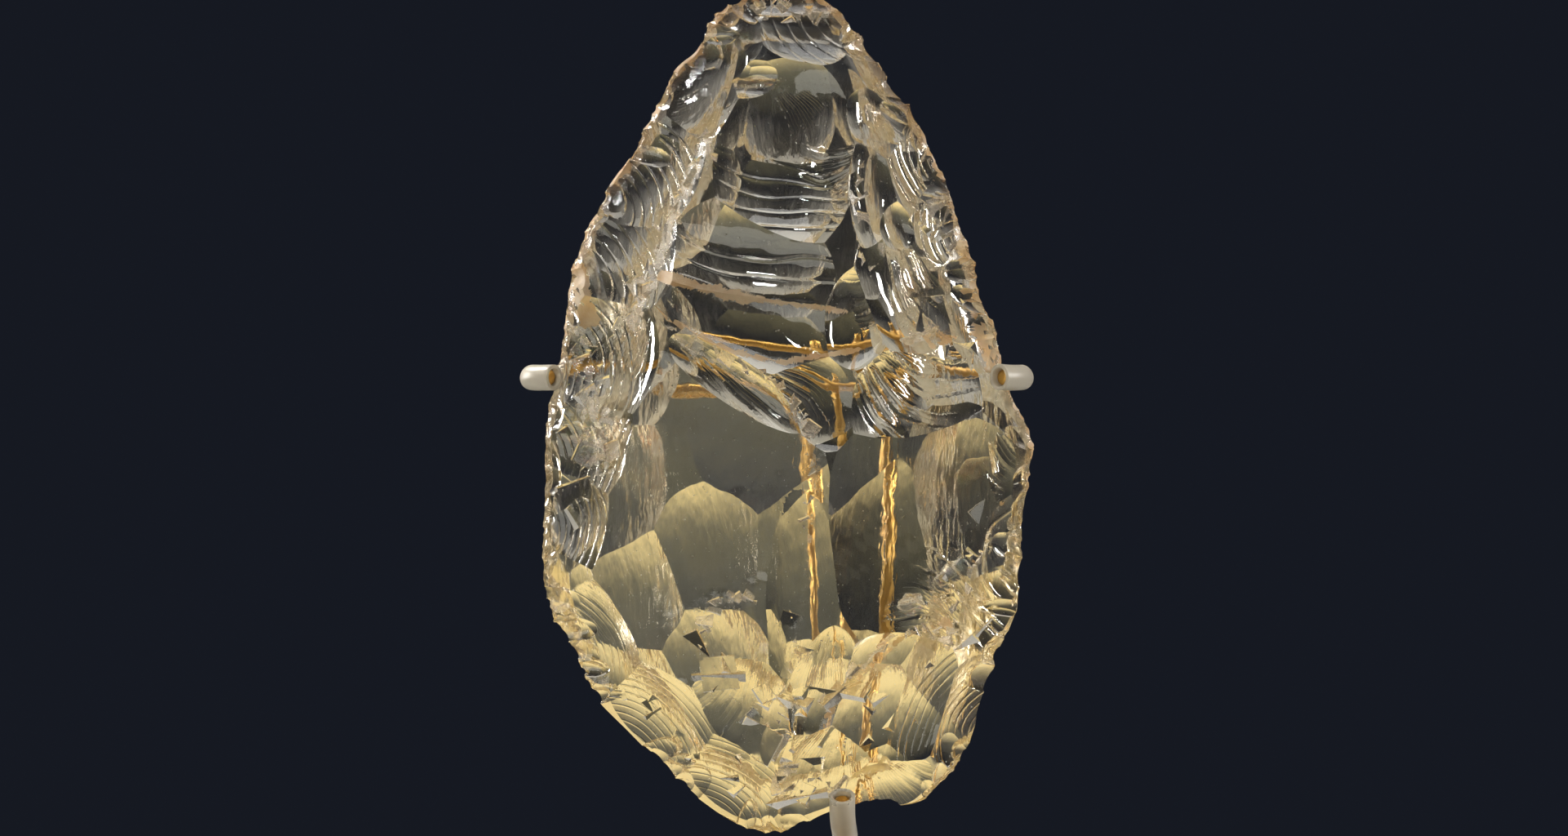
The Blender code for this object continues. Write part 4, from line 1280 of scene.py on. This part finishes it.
def sleeve(name, route, inner, outer, flare):
    """Soft tubing pulled over a wire's end: a grid rolled into a tube and thickened."""
    frames = frames_along(route)
    clear_selection()
    bpy.ops.mesh.primitive_grid_add(x_subdivisions=SLEEVE_SIDES, y_subdivisions=len(route) - 1,
                                    size=2)
    thing = bpy.context.object
    thing.name = name
    flat = points_of(thing)
    turn = (flat[:, 0] + 1) * math.pi
    row = np.round((flat[:, 1] + 1) / 2 * (len(route) - 1)).astype(int)
    places = []
    for angle, index in zip(turn, row):
        place, right, up = frames[index]
        to_end = (len(route) - 1 - index) * SLEEVE_STEP
        slack = outer * (1 + flare * math.exp(-to_end / 0.5)
                         + 0.012 * math.sin(3 * angle + index * 0.4))
        places.append(place + (right * math.cos(angle) + up * math.sin(angle)) * slack)
    places = np.array([(p.x, p.y, p.z + STONE_LIFT) for p in places])
    put_points(thing, places * MM)
    with editing(thing):
        weld(0.01)
    modify(thing, "SOLIDIFY", thickness=(outer - inner) * MM, offset=-1)
    modify(thing, "BEVEL", width=0.05 * MM, segments=2, limit_method="ANGLE")
    bpy.ops.object.shade_smooth_by_angle(angle=DRAWN_ANGLE)
    return thing


def end_stretch(route, length):
    """The last stretch of a route, of this length."""
    kept = [route[-1]]
    for place in reversed(route[:-1]):
        gap = (kept[-1] - place).length
        if gap >= length:
            kept.append(kept[-1].lerp(place, length / gap))
            break
        kept.append(place)
        length -= gap
    return kept[::-1]


def pushed_out(route, far):
    """The route with its last point moved on by this much."""
    ahead = (route[-1] - route[-2]).normalized()
    return route[:-1] + [route[-1] + ahead * far]


def turned(name, profile, x, y, sides):
    """A turned piece: a profile of (radius, height) points spun round an upright line."""
    clear_selection()
    bpy.ops.mesh.primitive_plane_add(size=1)
    thing = bpy.context.object
    thing.name = name
    bm = bmesh.new()
    verts = [bm.verts.new(((x + r) * MM, y * MM, z * MM)) for r, z in profile]
    for a, b in zip(verts, verts[1:]):
        bm.edges.new((a, b))
    bm.to_mesh(thing.data)
    bm.free()
    with editing(thing):
        bpy.ops.mesh.spin(steps=sides, angle=2 * math.pi, center=(x * MM, y * MM, 0),
                          axis=(0, 0, 1))
        weld(0.002)
    bpy.ops.object.shade_smooth_by_angle(angle=TURNED_ANGLE)
    return thing


def dress(thing, material, slot, *nodes):
    """Gives a finished piece its material and body, and hides the CAD nodes it stands for. Its
    slot is not used.
    """
    thing.data.materials.clear()
    thing.data.materials.append(material)
    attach(thing, BODY)
    if nodes:
        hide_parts(*nodes)


def size(name, value, text, low, high):
    return FloatProperty(name=name, description=text, default=value, min=low, max=high,
                         unit="LENGTH")


def amount(name, value, text, high):
    return FloatProperty(name=name, description=text, default=value, min=0, max=high)


def shade_of(name, value, text):
    return FloatVectorProperty(name=name, description=text, default=value, size=3, min=0,
                               max=1, subtype="COLOR")


class ScraperSizes(bpy.types.PropertyGroup):
    wire: size("Wire radius", 0.8 * MM, "Radius of the cradle's brass wire", 0.0005, 0.001)
    sleeve_outer: size("Sleeve radius", 1.25 * MM, "Outer radius of the sleeves", 0.001, 0.0014)
    sleeve_bore: size("Sleeve bore", 0.88 * MM, "Radius of the sleeves' bore", 0.0008, 0.001)
    foot_radius: size("Foot radius", 29 * MM, "Radius of the round foot", 0.02, 0.029)
    foot_height: size("Foot height", 4 * MM, "Thickness of the round foot", 0.002, 0.006)
    shading: FloatProperty(name="Arris angle", description="Angle from which an edge is sharp",
                           default=math.radians(26), min=0.1, max=1.5, subtype="ANGLE")


class ScraperLooks(bpy.types.PropertyGroup):
    tint: shade_of("Quartz", (0.995, 0.985, 0.96), "Colour of the clear quartz")
    depth_tint: shade_of("Depth tint", (0.95, 0.9, 0.77), "Colour that thick quartz takes")
    depth_density: amount("Tint density", 42.0, "How fast the colour deepens", 400)
    back_haze: amount("Back haze", 0.13, "Roughness of the worn back face", 1)
    # The stain and crust colours also paint the tan highlight band on the lit step riser.
    stain: shade_of("Iron stain", (0.62, 0.33, 0.1), "Colour of the iron stain at the rim")
    crust_and_lit_band: shade_of("Crust", (0.8, 0.56, 0.28), "Colour of the tan iron crust")
    soot: shade_of("Dark specks", (0.03, 0.022, 0.016), "Colour of the dark specks")
    brass: shade_of("Brass", (0.72, 0.45, 0.13), "Colour of the clean brass")
    foot: shade_of("Foot", (0.56, 0.42, 0.2), "Colour of the foot's satin brass")
    tarnish: shade_of("Tarnish", (0.34, 0.18, 0.05), "Colour of the tarnished brass")
    sleeve: shade_of("Sleeve", (0.8, 0.74, 0.62), "Colour of the plastic sleeves")
    floor: shade_of("Floor", (0.66, 0.65, 0.61), "Colour of the pale floor")
    background: shade_of("Background", (0.008, 0.0098, 0.0155), "Colour behind the object")
    haze: shade_of("Haze", (0.1, 0.094, 0.062), "Colour of the haze behind the stone")
    ground: shade_of("Ground", (0.028, 0.028, 0.028), "Colour seen below through the stone")
    ground_side: shade_of("Ground at the sides", (0.26, 0.25, 0.23),
                          "Colour seen below and to the sides through the stone")
    glow: shade_of("Glow", (1.0, 0.79, 0.36), "Colour of the glow above and behind")
    fill: shade_of("Fill", (0.085, 0.08, 0.07), "Colour of the fill from the front")
    light: amount("Light", 1.0, "Brightness of the studio light", 10)


class SCRAPER_OT_stone(bpy.types.Operator):
    """Knap the rock crystal out of its blank"""

    bl_idname = "scraper.stone"
    bl_label = "Knap the stone"

    def execute(self, context):
        stone = knap()
        stone.name = "knapped_crystal"
        shade(stone, context.scene.scraper_sizes.shading)
        mark_wear(stone)
        kinds = mark_fine_lines(stone)
        looks = context.scene.scraper_looks
        dress(stone, quartz_material(looks), "rock_crystal", "rock_crystal")
        for material in (veil_material(), crust_and_lit_band_material(looks), frost_material(looks)):
            stone.data.materials.append(material)
        stone.data.polygons.foreach_set("material_index", kinds.astype(np.int32))
        return {"FINISHED"}


class SCRAPER_OT_cradle(bpy.types.Operator):
    """Bend and solder the cradle's brass wires, and pull its sleeves on"""

    bl_idname = "scraper.cradle"
    bl_label = "Bend the cradle"

    def execute(self, context):
        sizes, looks = context.scene.scraper_sizes, context.scene.scraper_looks
        radius = sizes.wire / MM
        arm = even_route(tuple(reversed(LEFT_HOOK)) + ((ROD_X, ARM_BEHIND, ARM_HEIGHT),)
                         + RIGHT_HOOK, WIRE_STEP)
        toe = even_route(tuple(reversed(TOE_HOOK)), WIRE_STEP)
        rod = even_route(((ROD_X, ROD_BEHIND, ROD_FROM), (ROD_X, ROD_BEHIND, ROD_TOP)),
                         3 * WIRE_STEP)
        brass = brass_material("old_brass", looks.brass, looks.tarnish, 0.24, False)
        for name, route, node in (("arm_wire", arm, "cradle_arm"), ("toe_wire", toe, "cradle_toe"),
                                  ("rod_wire", rod, "cradle_rod")):
            dress(wire(name, route, radius, len(name) + len(route)), brass, "aged_brass", node)
        for name, place, extent in SOLDER:
            lifted = (place[0], place[1], place[2] + STONE_LIFT)
            dress(solder(name, lifted, extent, len(name)), brass, "aged_brass")
        tubing = sleeve_material(looks)
        for name, route, length, flare, node in (
            ("left_tubing", arm[::-1], 8.6, 0.0, "left_sleeve"),
            ("right_tubing", arm, 8.2, 0.05, "right_sleeve"),
            ("toe_tubing", toe, 9.4, 0.02, "toe_sleeve"),
        ):
            stretch = pushed_out(end_stretch(route, length), SLEEVE_OVERHANG)
            fine = even_route(stretch, SLEEVE_STEP)
            made = sleeve(name, fine, sizes.sleeve_bore / MM, sizes.sleeve_outer / MM, flare)
            dress(made, tubing, "sleeve_plastic", node)
        return {"FINISHED"}


class SCRAPER_OT_foot(bpy.types.Operator):
    """Turn the round brass foot and its collar"""

    bl_idname = "scraper.foot"
    bl_label = "Turn the foot"

    def execute(self, context):
        sizes, looks = context.scene.scraper_sizes, context.scene.scraper_looks
        brass = brass_material("turned_brass", looks.foot, looks.tarnish, 0.34, True)
        r, h = sizes.foot_radius / MM, sizes.foot_height / MM
        plate = ((0, 0.5), (r - 4.2, 0.5), (r - 4, 0.0), (r - 0.5, 0.0), (r - 0.12, 0.15),
                 (r, 0.5), (r, h - 0.6), (r - 0.06, h - 0.3), (r - 0.25, h - 0.08),
                 (r - 0.6, h), (r - 2.4, h), (r - 2.6, h - 0.22), (r - 2.9, h - 0.22),
                 (r - 3.1, h), (0, h))
        collar = ((0, h - 0.2), (2.6, h - 0.2), (2.6, h + 2.6), (2.5, h + 2.88), (2.2, h + 3),
                  (1.1, h + 3), (0.92, h + 2.85), (0.92, h + 1.0), (0, h + 1.0))
        dress(turned("foot_plate", plate, 0, 0, 128), brass, "satin_brass", "foot")
        dress(turned("foot_collar", collar, ROD_X, ROD_BEHIND, 48), brass, "satin_brass")
        return {"FINISHED"}


class SCRAPER_OT_stage(bpy.types.Operator):
    """Set the floor, the dark background, the studio lights and the camera"""

    bl_idname = "scraper.stage"
    bl_label = "Set the stage"

    def execute(self, context):
        looks = context.scene.scraper_looks
        clear_selection()
        bpy.ops.mesh.primitive_circle_add(vertices=128, radius=FLOOR_RADIUS, fill_type="NGON",
                                          location=(0, FLOOR_BACK - FLOOR_RADIUS, -FLOOR_GAP))
        floor = context.object
        floor.name = "floor"
        floor.data.materials.append(floor_material(looks))
        context.scene.world = studio_world(looks)
        for name, place, aim, wide, tall, glare, beam, through, colour in LIGHTS:
            bpy.ops.object.light_add(type="AREA", location=place)
            lamp = context.object
            lamp.name = name
            lamp.data.shape = "RECTANGLE"
            lamp.data.size, lamp.data.size_y = wide, tall
            lamp.data.energy = glare * math.pi * wide * tall * looks.light
            lamp.data.spread = math.radians(beam)
            lamp.data.color = colour
            lamp.visible_camera = False
            lamp.visible_transmission = through
            turn = (Vector(aim) - Vector(place)).to_track_quat("-Z", "Y")
            lamp.rotation_euler = turn.to_euler()
        bpy.ops.object.camera_add(location=CAMERA_PLACE, rotation=(math.pi / 2, 0, 0))
        camera = context.object
        camera.name = "camera"
        camera.data.lens = CAMERA_LENS
        camera.data.clip_start = 0.01
        context.scene.camera = camera
        cycles = context.scene.cycles
        cycles.use_denoising = True
        cycles.max_bounces = cycles.transmission_bounces = QUARTZ_BOUNCES
        cycles.glossy_bounces = QUARTZ_BOUNCES // 2
        context.scene.view_settings.view_transform = "Standard"
        return {"FINISHED"}


class SCRAPER_PT_panel(bpy.types.Panel):
    """Lists the pieces of the scraper, in the order they are made"""

    bl_label = "Rock Crystal Scraper"
    bl_idname = "SCRAPER_PT_panel"
    bl_space_type = "VIEW_3D"
    bl_region_type = "UI"
    bl_category = "Scraper"

    def draw(self, context):
        layout = self.layout
        for group in (context.scene.scraper_sizes, context.scene.scraper_looks):
            for name in group.__annotations__:
                layout.prop(group, name)
        for step in STEPS:
            layout.operator(step.bl_idname)


STEPS = (SCRAPER_OT_stone, SCRAPER_OT_cradle, SCRAPER_OT_foot, SCRAPER_OT_stage)
CLASSES = (ScraperSizes, ScraperLooks, *STEPS, SCRAPER_PT_panel)


def register():
    for part in CLASSES:
        bpy.utils.register_class(part)
    bpy.types.Scene.scraper_sizes = PointerProperty(type=ScraperSizes)
    bpy.types.Scene.scraper_looks = PointerProperty(type=ScraperLooks)


def unregister():
    del bpy.types.Scene.scraper_sizes
    del bpy.types.Scene.scraper_looks
    for part in reversed(CLASSES):
        bpy.utils.unregister_class(part)


def main():
    register()
    bpy.ops.scraper.stone()
    bpy.ops.scraper.cradle()
    bpy.ops.scraper.foot()
    bpy.ops.scraper.stage()


if __name__ == "__main__":
    main()
